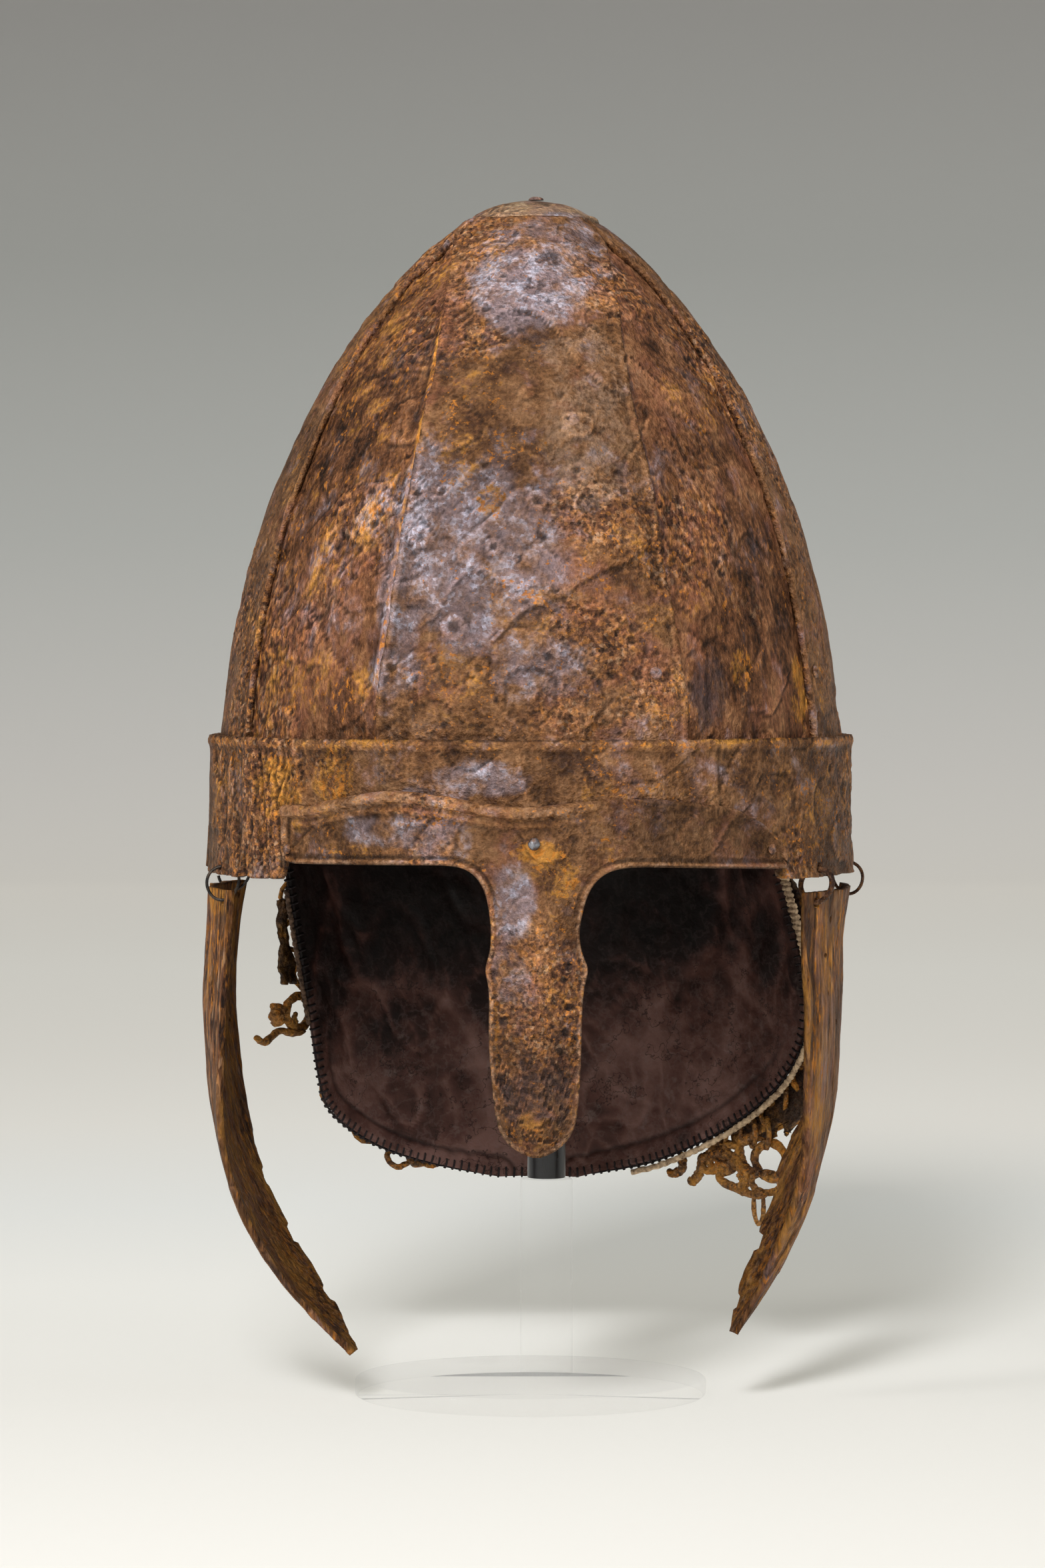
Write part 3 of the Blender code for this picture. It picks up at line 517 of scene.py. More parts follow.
# Each rust: the tones that differ from plain rust, and its pattern's scale in height (under 1 draws it out)
rustKinds = {
    "plate rust": ({}, 1),
    "under plate rust": (
        {"browns": ((0.022, 0.009, 0.004), (0.078, 0.030, 0.012), (0.150, 0.062, 0.026), (0.24, 0.115, 0.052))},
        0.55,
    ),
    "band rust": ({"red": (0.17, 0.062, 0.022)}, 1),
    "brow rust": ({"roughness": 0.48}, 1),
    "crown rust": (
        {
            "browns": ((0.05, 0.026, 0.013), (0.16, 0.090, 0.044), (0.30, 0.19, 0.10), (0.46, 0.35, 0.22)),
            "specular": 0.4,
        },
        1,
    ),
    "cheek rust": (
        {
            "browns": ((0.028, 0.011, 0.003), (0.088, 0.036, 0.012), (0.165, 0.076, 0.031), (0.26, 0.14, 0.066)),
            "specular": 0.12,
        },
        0.24,
    ),
    "mail rust": (
        {
            "browns": ((0.020, 0.010, 0.004), (0.095, 0.045, 0.014), (0.21, 0.105, 0.032), (0.36, 0.20, 0.075)),
            "metal_and_painted_sheen": (0.25, 0.17, 0.10),
            "red": (0.20, 0.085, 0.02),
        },
        1,
    ),
    "loop rust": (
        {"browns": ((0.03, 0.012, 0.006), (0.07, 0.032, 0.016), (0.13, 0.064, 0.032), (0.20, 0.11, 0.06))},
        1,
    ),
}
for rustName, (rustChanges, rustStretch) in rustKinds.items():
    makeRust(rustName, rustChanges, rustStretch)
makeLeather()
makePlainFinishes()
makeAcrylic()
print("finishes made,", len(materials))

# Rust's relief, shared by every iron piece

tones = ("metal_and_painted_sheen", "ochre", "dark", "pale")  # the order of the four channels of wear and painted light


def roughAt(point):  # how coarse the rust is here, from calm to crumbling
    return smoothStep(-0.22, 0.30, noise.noise(point * 17 + Vector((6, 1, 2))) + 0.45 * noise.noise(point * 44))


def sunkenAt(place, seed, chances, widths):  # how deep a place is in one of the rust's scattered pits
    distances, cells = noise.voronoi(place)
    return smoothStep(*chances, noise.noise(cells[0] * seed)) * fade(*widths, distances[0])


def rustRelief(point, grain=1.0, scale=(1, 1, 1)):  # height in mm, and how deep in a pit the point is
    place = Vector((point.x * scale[0], point.y * scale[1], point.z * scale[2]))
    rough = 0.4 + 0.8 * roughAt(point)
    lump = noise.fractal(place * 40, 1.0, 2.0, 3) * 0.5
    grit = noise.fractal(place * 260 + Vector((3, 1, 4)), 0.8, 2.0, 3) * 0.13
    crust = smoothStep(0.02, 0.08, noise.noise(place * 52 + Vector((9, 2, 6)))) * 0.42
    flake = smoothStep(0.12, 0.20, noise.noise(place * 125 + Vector((1, 8, 5)))) * 0.26
    pit = sunkenAt(place * 180, 7.3, (0.02, 0.12), (0.10, 0.42)) * min(rough, 1)
    crater = sunkenAt(place * 70 + Vector((4, 4, 4)), 5.1, (0.10, 0.2), (0.18, 0.40)) * min(rough, 1)
    height = (lump + crust + (grit + flake) * rough) * grain - 0.6 * pit * grain - 0.6 * crater * grain
    return height, min(pit + 0.5 * crater, 1)


# The mottle of each tone: its noise's scale and shift
mottles = ((21, Vector((5, 0, 0))), (24, Vector((0, 7, 0))), (27, Vector((0, 0, 9))), (19, Vector((2, 2, 0))))


def mottleAt(point, scale, shift):
    value = noise.noise(point * scale + shift) + 0.5 * noise.noise(point * scale * 3.3 + shift)
    return smoothStep(0.0, 0.5, value)


def wearAndPaintedLightAt(point, chart, pit, plain):  # the four tones at a point: a general mottle, then the charted patches
    patchy = [amount * mottleAt(point, *mottle) for amount, mottle in zip(plain, mottles)]
    if point.y < 0:
        wobble = 0.35 * noise.noise(point * 60) + 0.25 * noise.noise(point * 160)
        front = smoothStep(0, 20 * mm, -point.y)
        for index, tone in enumerate(tones):
            for x, height, halfWidth, halfHeight, strength in chart.get(tone, ()):
                across, up = (point.x / mm - x) / halfWidth, (point.z / mm - height) / halfHeight
                reach = across * across + up * up + wobble
                if reach < 1.4:
                    amount = strength * fade(0.35, 1.4, reach) * front
                    patchy[index] = max(patchy[index], amount)
    patchy[2] = min(patchy[2] + 0.8 * pit, 1)
    return patchy


def toneAndShadingLayers(made):  # a bmesh's layers for its tones, painted shading and coarseness
    layers = made.verts.layers
    return (
        layers.float_color.get("wear_and_painted_light") or layers.float_color.new("wear_and_painted_light"),
        layers.float.get("paintedShading") or layers.float.new("paintedShading"),
        layers.float.get("rough") or layers.float.new("rough"),
    )


def weather(sheet, wall, relief, wearAndPaintedLightFor, insideWear=(0, 0.15, 0.35, 0), insidePaintedShading=0.42, paintedLightAt=None):
    # gives a sheet its wall, then its relief, its tones and its painted shading on the outer face: darker in
    # hollows, lighter on raised edges
    sheet.normal_update()
    number = sheet.verts.layers.int.new("number")
    rest = []
    for index, vertex in enumerate(sheet.verts):
        vertex[number] = index  # the inner wall's vertices keep it
        rest.append((vertex.co.copy(), vertex.normal.copy(), *relief(vertex.co)))
    paintedShadings = []
    for index, vertex in enumerate(sheet.verts):
        around = [rest[edge.other_vert(vertex)[number]][2] for edge in vertex.link_edges]
        step = rest[index][2] - sum(around) / len(around)
        paintedShadings.append(min(max(0.5 + 0.15 * rest[index][2] + 2.2 * step, 0), 1))
    bmesh.ops.solidify(sheet, geom=sheet.faces[:], thickness=wall)
    number = sheet.verts.layers.int["number"]
    layer, paintedShadingLayer, roughLayer = toneAndShadingLayers(sheet)
    for vertex in sheet.verts:
        index = vertex[number]
        place, outward, height, pit = rest[index]
        if (vertex.co - place).length < 1e-7:
            vertex.co = place + outward * height * mm
            vertex[layer] = made = wearAndPaintedLightFor(place, pit)
            vertex[paintedShadingLayer] = paintedShadings[index] + (paintedLightAt(place) if paintedLightAt else 0)
            vertex[roughLayer] = roughAt(place) * (1 - 0.6 * made[0])
        else:
            rough = noise.fractal(place * 70, 1, 2, 3) * 0.25
            vertex.co = place - outward * (wall - rough * mm)
            vertex[layer] = insideWear
            vertex[paintedShadingLayer] = insidePaintedShading
            vertex[roughLayer] = 0.6
    sheet.verts.layers.int.remove(number)


def setWearAndPaintedShading(made, wearAndPaintedLightFor, paintedShading=0.5):
    layer, paintedShadingLayer, roughLayer = toneAndShadingLayers(made)
    for vertex in made.verts:
        vertex[layer] = wearAndPaintedLightFor(vertex.co)
        vertex[paintedShadingLayer] = paintedShading
        vertex[roughLayer] = 0.6


# Skull: four outer plates lapped over four under plates

skull = {
    "height": 233 * mm,
    "halfWidth": 107 * mm,
    "depthRatio": 1.10,
    "profilePower": 2.4,
    "profileRoot": 1.4,
    "wall": 1.5 * mm,
    "footHeight": rimHeight + 10 * mm,
    "topRadius": 22 * mm,
    "underDepth": 1.8 * mm,
    "plateTop": 0.405,
    # The front and back plates' half width in mm by height, and the side plates' half angle
    "seams": ((238, 50.0), (289, 42.5), (322, 36.5), (345, 31.8), (387, 25.9), (407, 23.0)),
    "seamAngleAtCrown": 50,
    "sideSeam": 26.5,
    "sideSeamAtCrown": 34,
    "sideHalfWidth": 20 * mm,
    "columns": 76,
    "underColumns": 66,
    "rows": 184,
    "dent": 0.45,  # mm
    "raggedEdge": 0.5 * mm,
    "ridge": 1.5,  # mm, the lip that the left seam's rust has raised
    "edgeLift": 0.55,  # mm
    "holePitch": 11.5,  # mm
    "holeAngle": 63.5 + 2.2,
    "firstHole": 60 * mm,
    "lastHole": 385 * mm,
    "covered": 1 / 3,  # the share of each outer plate's half that runs over an under plate
}
# Where each tone lies on the front: x, height, half width and half height in mm, and strength
# The sheen patches are bare metal, painted lighter where the lamps' highlights fall
skullChart = {
    "metal_and_painted_sheen": [
        (-2, 282, 16, 26, 0.75), (4, 250, 16, 10, 0.6), (-14, 300, 14, 16, 0.8), (-1, 373, 21, 16, 1.0),
        (5, 390, 18, 8, 0.55), (-30, 300, 16, 24, 0.85), (-23, 271, 13, 20, 0.9), (-42, 271, 9, 17, 0.8),
        (-44, 248, 9, 9, 0.7), (2, 302, 9, 9, 0.6), (-5, 249, 10, 13, 0.6), (-51, 304, 8, 14, 0.5),
        (-64, 290, 12, 18, 0.3), (-10, 275, 30, 30, 0.35), (8, 384, 22, 14, 0.5), (-62, 262, 14, 14, 0.3),
    ],
    "ochre": [
        (-52, 360, 16, 24, 0.55), (-56, 330, 12, 14, 0.5), (-13, 304, 6, 6, 0.75), (-21, 344, 13, 17, 0.4),
        (-70, 243, 24, 12, 0.55), (-78, 292, 12, 32, 0.35), (-89, 250, 9, 22, 0.5), (69, 248, 5, 8, 0.75),
        (89, 241, 4, 13, 0.8), (35, 288, 15, 12, 0.35), (18, 281, 12, 8, 0.3), (45, 238, 10, 12, 0.4),
    ],
    "dark": [
        (-48, 356, 14, 20, 0.6), (-34, 356, 13, 14, 0.7), (10, 249, 15, 12, 0.65), (59, 241, 8, 16, 1.0),
        (50, 264, 14, 14, 0.45), (76, 270, 12, 30, 0.3), (-62, 350, 18, 26, 0.35), (-88, 290, 8, 40, 0.35),
        (62, 330, 14, 26, 0.3), (20, 262, 16, 10, 0.4), (12, 245, 18, 8, 0.5),
    ],
    "pale": [
        (18, 325, 16, 27, 0.75), (16, 352, 13, 12, 0.6), (29, 343, 9, 13, 0.55),
    ],
}
# Edges where a layer of rust has lifted: points of x and height in mm, and the layer's thickness
liftedLayers = [
    (((39, 287.5), (21, 278.5), (12, 273), (3, 269.5), (-7, 263), (-13, 255.5)), 0.75),
    (((-2, 366), (9, 362), (27, 360.5)), 0.4),
    (((-36, 262), (-30, 266), (-24, 276), (-20, 279)), 0.4),
    (((50, 252), (58, 258), (66, 256)), 0.35),
    (((-62, 336), (-50, 341), (-38, 345)), 0.4),
]
# Blisters and holes in the rust: x, height and radius in mm
blisters = [
    (-36, 291, 3.6), (2, 303, 3.4), (-45, 249, 3.2), (-37, 245, 2.6),
    (-17, 249, 3.0), (-25, 262, 4.2), (-12, 288, 2.8),
]
blackHoles = [(-3.6, 284.4, 1.1), (28, 260, 1.0), (-40, 318, 0.9), (12, 330, 0.8), (31, 350, 0.8)]


def skullPoint(angle, turn):  # turn is 0 at the rim and 90 at the apex
    radius = skull["halfWidth"] * math.cos(math.radians(turn)) ** (2 / skull["profileRoot"])
    rise = math.sin(math.radians(turn)) ** (2 / skull["profilePower"])
    around = math.radians(angle)
    depth = radius * (1 + (skull["depthRatio"] - 1) * (1 - rise**4))
    return Vector((radius * math.sin(around), -depth * math.cos(around), rimHeight + skull["height"] * rise))


def turnAtHeight(height):
    return math.degrees(math.asin(((height - rimHeight) / skull["height"]) ** (skull["profilePower"] / 2)))


def turnAtRadius(radius):
    return math.degrees(math.acos((radius / skull["halfWidth"]) ** (skull["profileRoot"] / 2)))


def turnAtPoint(point):
    return turnAtHeight(min(max(point.z, skull["footHeight"]), skull["plateTop"]))


def planAngle(point):  # 0 at the front, positive to the right
    return math.degrees(math.atan2(point.x, -point.y / skull["depthRatio"]))


def arcAt(point, angle):  # mm along the surface that an angle spans at a point
    return math.radians(angle) * math.hypot(point.x, point.y) / mm


def evenTurns():  # turns at equal distances along the profile
    turns = np.linspace(turnAtHeight(skull["footHeight"]), turnAtRadius(skull["topRadius"]), 400)
    points = np.array([skullPoint(90, turn) for turn in turns])
    run = np.concatenate([[0], np.cumsum(np.linalg.norm(np.diff(points, axis=0), axis=1))])
    return np.interp(np.linspace(0, run[-1], skull["rows"] + 1), run, turns)


def seamAngle(turn, side=False):
    point = skullPoint(90, turn)
    if side:
        widened = math.degrees(math.asin(min(skull["sideHalfWidth"] / point.x, 1)))
        return min(max(skull["sideSeam"], widened), skull["sideSeamAtCrown"])
    half = float(np.interp(point.z / mm, *zip(*skull["seams"]))) * mm
    return min(math.degrees(math.asin(min(half / point.x, 1))), skull["seamAngleAtCrown"])


turns = evenTurns()


def skullOffset(angle, turn, out):
    step = 0.01
    along = skullPoint(angle + step, turn) - skullPoint(angle - step, turn)
    up = skullPoint(angle, turn + step) - skullPoint(angle, turn - step)
    return skullPoint(angle, turn) + along.cross(up).normalized() * out


def layerLift(point):  # mm that the lifted layers add
    x, height = point.x / mm, point.z / mm
    lift = 0
    for line, thickness in liftedLayers:
        first, last = min(line)[0], max(line)[0]
        if first - 6 < x < last + 6:
            run = sorted(line)
            edge = float(np.interp(x, [p[0] for p in run], [p[1] for p in run]))
            edge += 1.4 * noise.noise(point * 150) + 0.6 * noise.noise(point * 420)
            above = height - edge
            ends = smoothStep(first - 6, first + 3, x) * fade(last - 3, last + 6, x)
            lift += thickness * ends * smoothStep(-0.2, 0.9, above) * fade(6, 30, above)
    return lift


def skullRelief(point):
    height, pit = rustRelief(point)
    height += skull["dent"] * noise.noise(point * 13)
    if point.y < -30 * mm:
        height += layerLift(point)
        for x, z, radius in blisters:
            away = math.hypot(point.x / mm - x, point.z / mm - z) / radius
            if away < 1.5:
                height += 0.5 * hump(away - 0.75, 0.28) - 0.15 * fade(0, 0.5, away)
        for x, z, radius in blackHoles:
            away = math.hypot(point.x / mm - x, point.z / mm - z)
            hole = fade(radius * 0.6, radius * 1.3, away)
            height -= 1.2 * hole
            pit = max(pit, hole)
    return height, pit


def raggedAngle(point, seed):  # degrees that a plate's edge wanders
    wander = noise.noise(point * 90 + Vector((seed, 0, 0)))
    wander += 0.6 * noise.noise(point * 380 + Vector((0, seed, 0)))
    return math.degrees(skull["raggedEdge"] * wander / max(math.hypot(point.x, point.y), 20 * mm))


def makeOuterPlate(name, centre):
    atSide = centre % 180 == 90

    def place(across, up):
        turn = turns[round(up * skull["rows"])]
        side = 2 * across - 1
        edge = seamAngle(turn, atSide)
        edge += raggedAngle(skullPoint(centre + edge * (1 if side > 0 else -1), turn), centre + side)
        return skullOffset(centre + edge * side, turn, 0)

    def relief(point):
        height, pit = skullRelief(point)
        angle = planAngle(point) - centre
        fromEdge = seamAngle(turnAtPoint(point), atSide) - abs((angle + 180) % 360 - 180)
        # The plates' edges are turned up a little
        height += skull["edgeLift"] * fade(0.8, 3.2, arcAt(point, fromEdge))
        if name == "right_plate":  # a row of small holes along the front edge
            pitch = skull["holePitch"]
            row = ((point.z - rimHeight - skull["firstHole"]) / (pitch * mm)) % 1 - 0.5
            away = math.hypot(row * pitch, arcAt(point, planAngle(point) - skull["holeAngle"]))
            hole = fade(0.7, 1.3, away)
            if point.z < skull["lastHole"]:
                height -= 1.1 * hole
                pit = max(pit, hole)
        return height, pit

    sheet = gridSheet(skull["columns"], skull["rows"], place)

    def wear_and_painted_light(point, pit):
        return wearAndPaintedLightAt(point, skullChart, pit, (0.30, 0.45, 0.45, 0.25))

    def paintedTopAndRightLight(point):  # painted light: paler at the top in front and to the right beside the right seam
        top = 0.16 * smoothStep(358, 380, point.z / mm) * smoothStep(0, 20, -point.y / mm)
        return top + 0.14 * smoothStep(62, 84, point.x / mm)

    weather(sheet, skull["wall"], relief, wear_and_painted_light, paintedLightAt=paintedTopAndRightLight)
    pieceFrom("plate_" + name.split("_")[0], sheet, "plate rust", "helmet", [name])


def makeUnderPlate(name, firstCentre):
    seen = 1 - skull["covered"]

    def place(across, up):
        turn = turns[round(up * skull["rows"])]
        edges = seamAngle(turn), seamAngle(turn, True)
        if firstCentre % 180:
            edges = edges[::-1]
        start, end = edges[0] * seen, 90 - edges[1] * seen
        return skullOffset(firstCentre + start + (end - start) * across, turn, -skull["underDepth"])

    def relief(point):
        height, pit = skullRelief(point)
        if name == "front_left_plate":  # rust has raised a lip along the front plate's left edge
            beside = arcAt(point, -planAngle(point) - seamAngle(turnAtPoint(point)))
            beside += 0.5 * noise.noise(point * 120)
            lip = smoothStep(-0.6, 0.8, beside) * fade(1.6, 4.5, beside)
            broken = 0.45 + 0.55 * smoothStep(-0.25, 0.3, noise.noise(point * 55))
            height += skull["ridge"] * lip * broken * smoothStep(235 * mm, 250 * mm, point.z)
        return height, pit

    def wear_and_painted_light(point, pit):
        made = wearAndPaintedLightAt(point, skullChart, pit, (0.20, 0.5, 0.5, 0.2))
        beside = arcAt(point, abs(planAngle(point)) - seamAngle(turnAtPoint(point)))
        if name == "front_left_plate" and 0 < beside < 3:
            made[1] = max(made[1], 0.6 + 0.5 * noise.noise(point * 45))
            made[2] *= 0.3
        if name == "front_right_plate":  # a painted shadow: a dark line down the front plate's right edge
            line = fade(2.6, 3.6, beside + 0.6 * noise.noise(point * 130))
            made[2] = max(made[2], line * (0.35 + 0.75 * smoothStep(275, 300, point.z / mm)))
            made[1] *= 1 - line
        return made

    sheet = gridSheet(skull["underColumns"], skull["rows"], place)
    weather(sheet, skull["wall"], relief, wear_and_painted_light)
    underName = "under_" + name.replace("_plate", "")
    pieceFrom(underName, sheet, "under plate rust", "helmet", [name])


for quarter, side in enumerate(("front", "right", "back", "left")):
    makeOuterPlate(side + "_plate", 90 * quarter)
for quarter, corner in enumerate(("front_right", "back_right", "back_left", "front_left")):
    makeUnderPlate(corner + "_plate", 90 * quarter)
print("skull plates made")

# Shapes taken from the CAD pieces' outer faces


def outerFaces(node, outwardAt, least):  # a merged copy of a CAD node's outer face, in four-sided faces
    sheet = bmesh.new()
    sheet.from_mesh(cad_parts[node].data)
    bmesh.ops.remove_doubles(sheet, verts=sheet.verts, dist=1e-6)
    sheet.normal_update()
    inner = [face for face in sheet.faces if face.normal.dot(outwardAt(face.calc_center_median())) < least]
    bmesh.ops.delete(sheet, geom=inner, context="FACES")
    bmesh.ops.join_triangles(sheet, faces=sheet.faces, angle_face_threshold=1.2, angle_shape_threshold=math.pi)
    return sheet


def subdivided(sheet, levels):  # the sheet after a subdivision surface
    mesh = meshFrom("coarse", sheet)
    coarse = linked("coarse", mesh)
    smoother = coarse.modifiers.new("Smooth", "SUBSURF")
    smoother.levels = levels
    smoother.render_levels = levels
    shaped = coarse.evaluated_get(bpy.context.evaluated_depsgraph_get()).to_mesh()
    fine = bmesh.new()
    fine.from_mesh(shaped)
    bpy.data.objects.remove(coarse)
    bpy.data.meshes.remove(mesh)
    return fine


def treeOf(points):
    tree = kdtree.KDTree(len(points))
    for index, point in enumerate(points):
        tree.insert(point, index)
    tree.balance()
    return tree


def edgeTree(sheet):  # the boundary's points, to measure how far a place is from the edge
    return treeOf([vertex.co.copy() for vertex in sheet.verts if vertex.is_boundary])


# Brow band

band = {
    "foot": bandLow.z,
    "top": bandHigh.z,
    "footRadius": 109.7 * mm,
    "topRadius": 108.4 * mm,
    "wall": 1.8 * mm,
    "bead": 0.8,  # mm
    "beadWidth": 1.7 * mm,
    "beadHeight": bandHigh.z - 2.2 * mm,
    "footBead": 0.35,  # mm
    "footWidth": 2.2 * mm,
    "notchAngle": -59,
    "notchHeight": 7 * mm,
    "openingAngle": 48,
    "openingRise": 8.5 * mm,
    "lapAngle": 33.5,
    "columns": 540,
    "rows": 38,
    "loopHole": 1.9 * mm,
    "loopHoleRise": 3.5 * mm,
    "rimHole": 0.9 * mm,
    "rimHoleRise": 7 * mm,
    "leftLoops": (-71.4, -108.6),
    "rightLoops": (60.5, 93.0),
    "rimHoles": (53.5, 64.5, 71, 79),
}
bandChart = {
    "metal_and_painted_sheen": [
        (-17, 213, 19, 6, 0.8), (-30, 208, 12, 5, 0.5),
    ],
    "ochre": [
        (-66, 229.5, 20, 3.5, 1.0), (-50, 227, 14, 3, 0.7), (-83, 209, 10, 12, 0.8), (-64, 214, 8, 12, 0.75),
        (44, 208, 16, 8, 0.3), (70, 226, 18, 2.4, 0.8), (82, 190, 10, 6, 0.3),
    ],
    "dark": [
        (-86, 199, 9, 9, 0.5), (-90, 215, 6, 14, 0.4), (-44, 216, 13, 6, 0.5), (18, 214, 20, 7, 0.45),
        (77, 208, 14, 12, 0.35),
    ],
}


def bandRadius(height):
    part = (height - band["foot"]) / (band["top"] - band["foot"])
    return band["footRadius"] + (band["topRadius"] - band["footRadius"]) * min(max(part, 0), 1)


def bandPoint(angle, height, out):
    radius = bandRadius(height) + out
    around = math.radians(angle)
    return Vector((radius * math.sin(around), -radius * skull["depthRatio"] * math.cos(around), height))


def bandOutward(angle):
    around = math.radians(angle)
    return Vector((math.sin(around) * skull["depthRatio"], -math.cos(around), 0)).normalized()


def browFaces(levels):
    return subdivided(outerFaces("brow_plate", lambda point: Vector((0, -1, 0)), 0.45), levels)


browEdges = edgeTree(browFaces(2))


def makeBand():
    def place(across, up):
        angle = 360 * across - 180
        foot, top = band["foot"], band["top"]
        inOpening = fade(band["openingAngle"] - 1.5, band["openingAngle"] + 0.5, abs(angle))
        foot += band["openingRise"] * inOpening
        notch = math.exp(-(((angle - band["notchAngle"]) / 1.2) ** 4)) * band["notchHeight"]
        footPoint = bandPoint(angle, foot, 0)
        ragged = 0.5 * noise.noise(footPoint * 130) + 0.3 * noise.noise(footPoint * 420)
        corner = smoothStep(80, 92, angle) - smoothStep(104, 116, angle)  # the foot steps up at the sides
        corner = corner + smoothStep(-82, -92, angle) - smoothStep(-104, -116, angle)
        foot += notch + max(ragged, -0.4) * mm + (0.4 + 2.2 * corner) * mm
        top += 0.35 * mm * noise.noise(bandPoint(angle, top, 0) * 160) - 0.35 * mm
        return bandPoint(angle, foot + (top - foot) * up, 0)

    def relief(point):
        angle = planAngle(point)
        scaly = smoothStep(-42, -56, angle) if angle > -100 else smoothStep(-110, -100, angle)
        height, pit = rustRelief(point, 1 + 0.9 * scaly, (1, 1, 1 - 0.45 * scaly))
        height += 0.3 * noise.noise(point * 14)
        height += band["bead"] * hump((band["beadHeight"] - point.z) / band["beadWidth"], 1)
        height += band["footBead"] * hump((point.z - band["foot"]) / band["footWidth"], 1)
        lapAway = angle - band["lapAngle"] - 0.35 * noise.noise(point * 90)
        if abs(lapAway) < 16:
            height += 0.7 * fade(-0.1, 0.35, lapAway) * smoothStep(-16, -5, lapAway)
            crack = hump(lapAway, 0.28)
            height -= 0.5 * crack
            pit = max(pit, crack * 0.8)
        return height, pit

    def wear_and_painted_light(point, pit):
        made = wearAndPaintedLightAt(point, bandChart, pit, (0.22, 0.5, 0.42, 0.15))
        if point.y < 0:
            # painted shadow: the band darker along the brow plate's edge
            browAway = browEdges.find(point)[2] / mm
            made[2] = max(made[2], 0.9 * fade(2.2, 3.4, browAway))
        beadAway = abs(band["beadHeight"] - point.z) / band["beadWidth"]
        thinLine = fade(0.5, 1.3, beadAway)
        made[1] = max(made[1], thinLine * (0.45 + 0.5 * noise.noise(point * 30)))
        return made

    sheet = gridSheet(band["columns"], band["rows"], place)
    bmesh.ops.remove_doubles(sheet, verts=sheet.verts, dist=1e-5)
    for angle in band["leftLoops"] + band["rightLoops"]:
        punchHole(sheet, bandPoint(angle, band["foot"] + band["loopHoleRise"], 0), band["loopHole"])
    for angle in band["rimHoles"]:
        punchHole(sheet, bandPoint(angle, band["foot"] + band["rimHoleRise"], 0), band["rimHole"])
    weather(sheet, band["wall"], relief, wear_and_painted_light)
    pieceFrom("rim_band", sheet, "band rust", "helmet", ["brow_band"])


makeBand()
print("band made")

# Brow plate and nasal: the CAD piece's outer face, smoothed

browPlate = {
    "wall": 1.8 * mm,
    "levels": 3,
    "ridgeX": 2.6,
}
# The sheen down the nasal's left face and the dark patch on its right face are partly painted light and shade
browChart = {
    "metal_and_painted_sheen": [
        (-46, 196, 16, 6, 0.85), (-28, 192, 12, 8, 0.6), (-6, 172, 8, 14, 0.95), (-7, 152, 7, 12, 0.6),
    ],
    "ochre": [
        (-60, 189, 12, 4, 0.5), (-34, 200, 14, 3, 0.45), (-70, 198, 8, 6, 0.5), (2, 190, 9, 4, 0.9),
        (28, 200, 14, 3, 0.35), (8, 182, 8, 8, 0.7), (0, 100, 11, 8, 0.7), (-12, 122, 3, 24, 0.7),
        (14.5, 122, 3, 26, 0.6), (8, 138, 7, 10, 0.45),
    ],
    "dark": [
        (12, 197, 14, 7, 0.55), (50, 196, 26, 9, 0.55), (0, 122, 17, 30, 0.5), (9, 160, 8, 12, 0.45),
        (1, 112, 13, 20, 0.85), (-4, 132, 8, 8, 0.4),
    ],
}
nasalPits = [  # x, height and radius in mm
    (10.5, 149, 1.7), (12.5, 140.5, 2.2), (-9, 121, 0.8), (4, 118, 1.0),
    (-3, 104, 1.0), (6, 108, 0.9), (-12, 143, 0.7), (3, 98, 0.9),
]


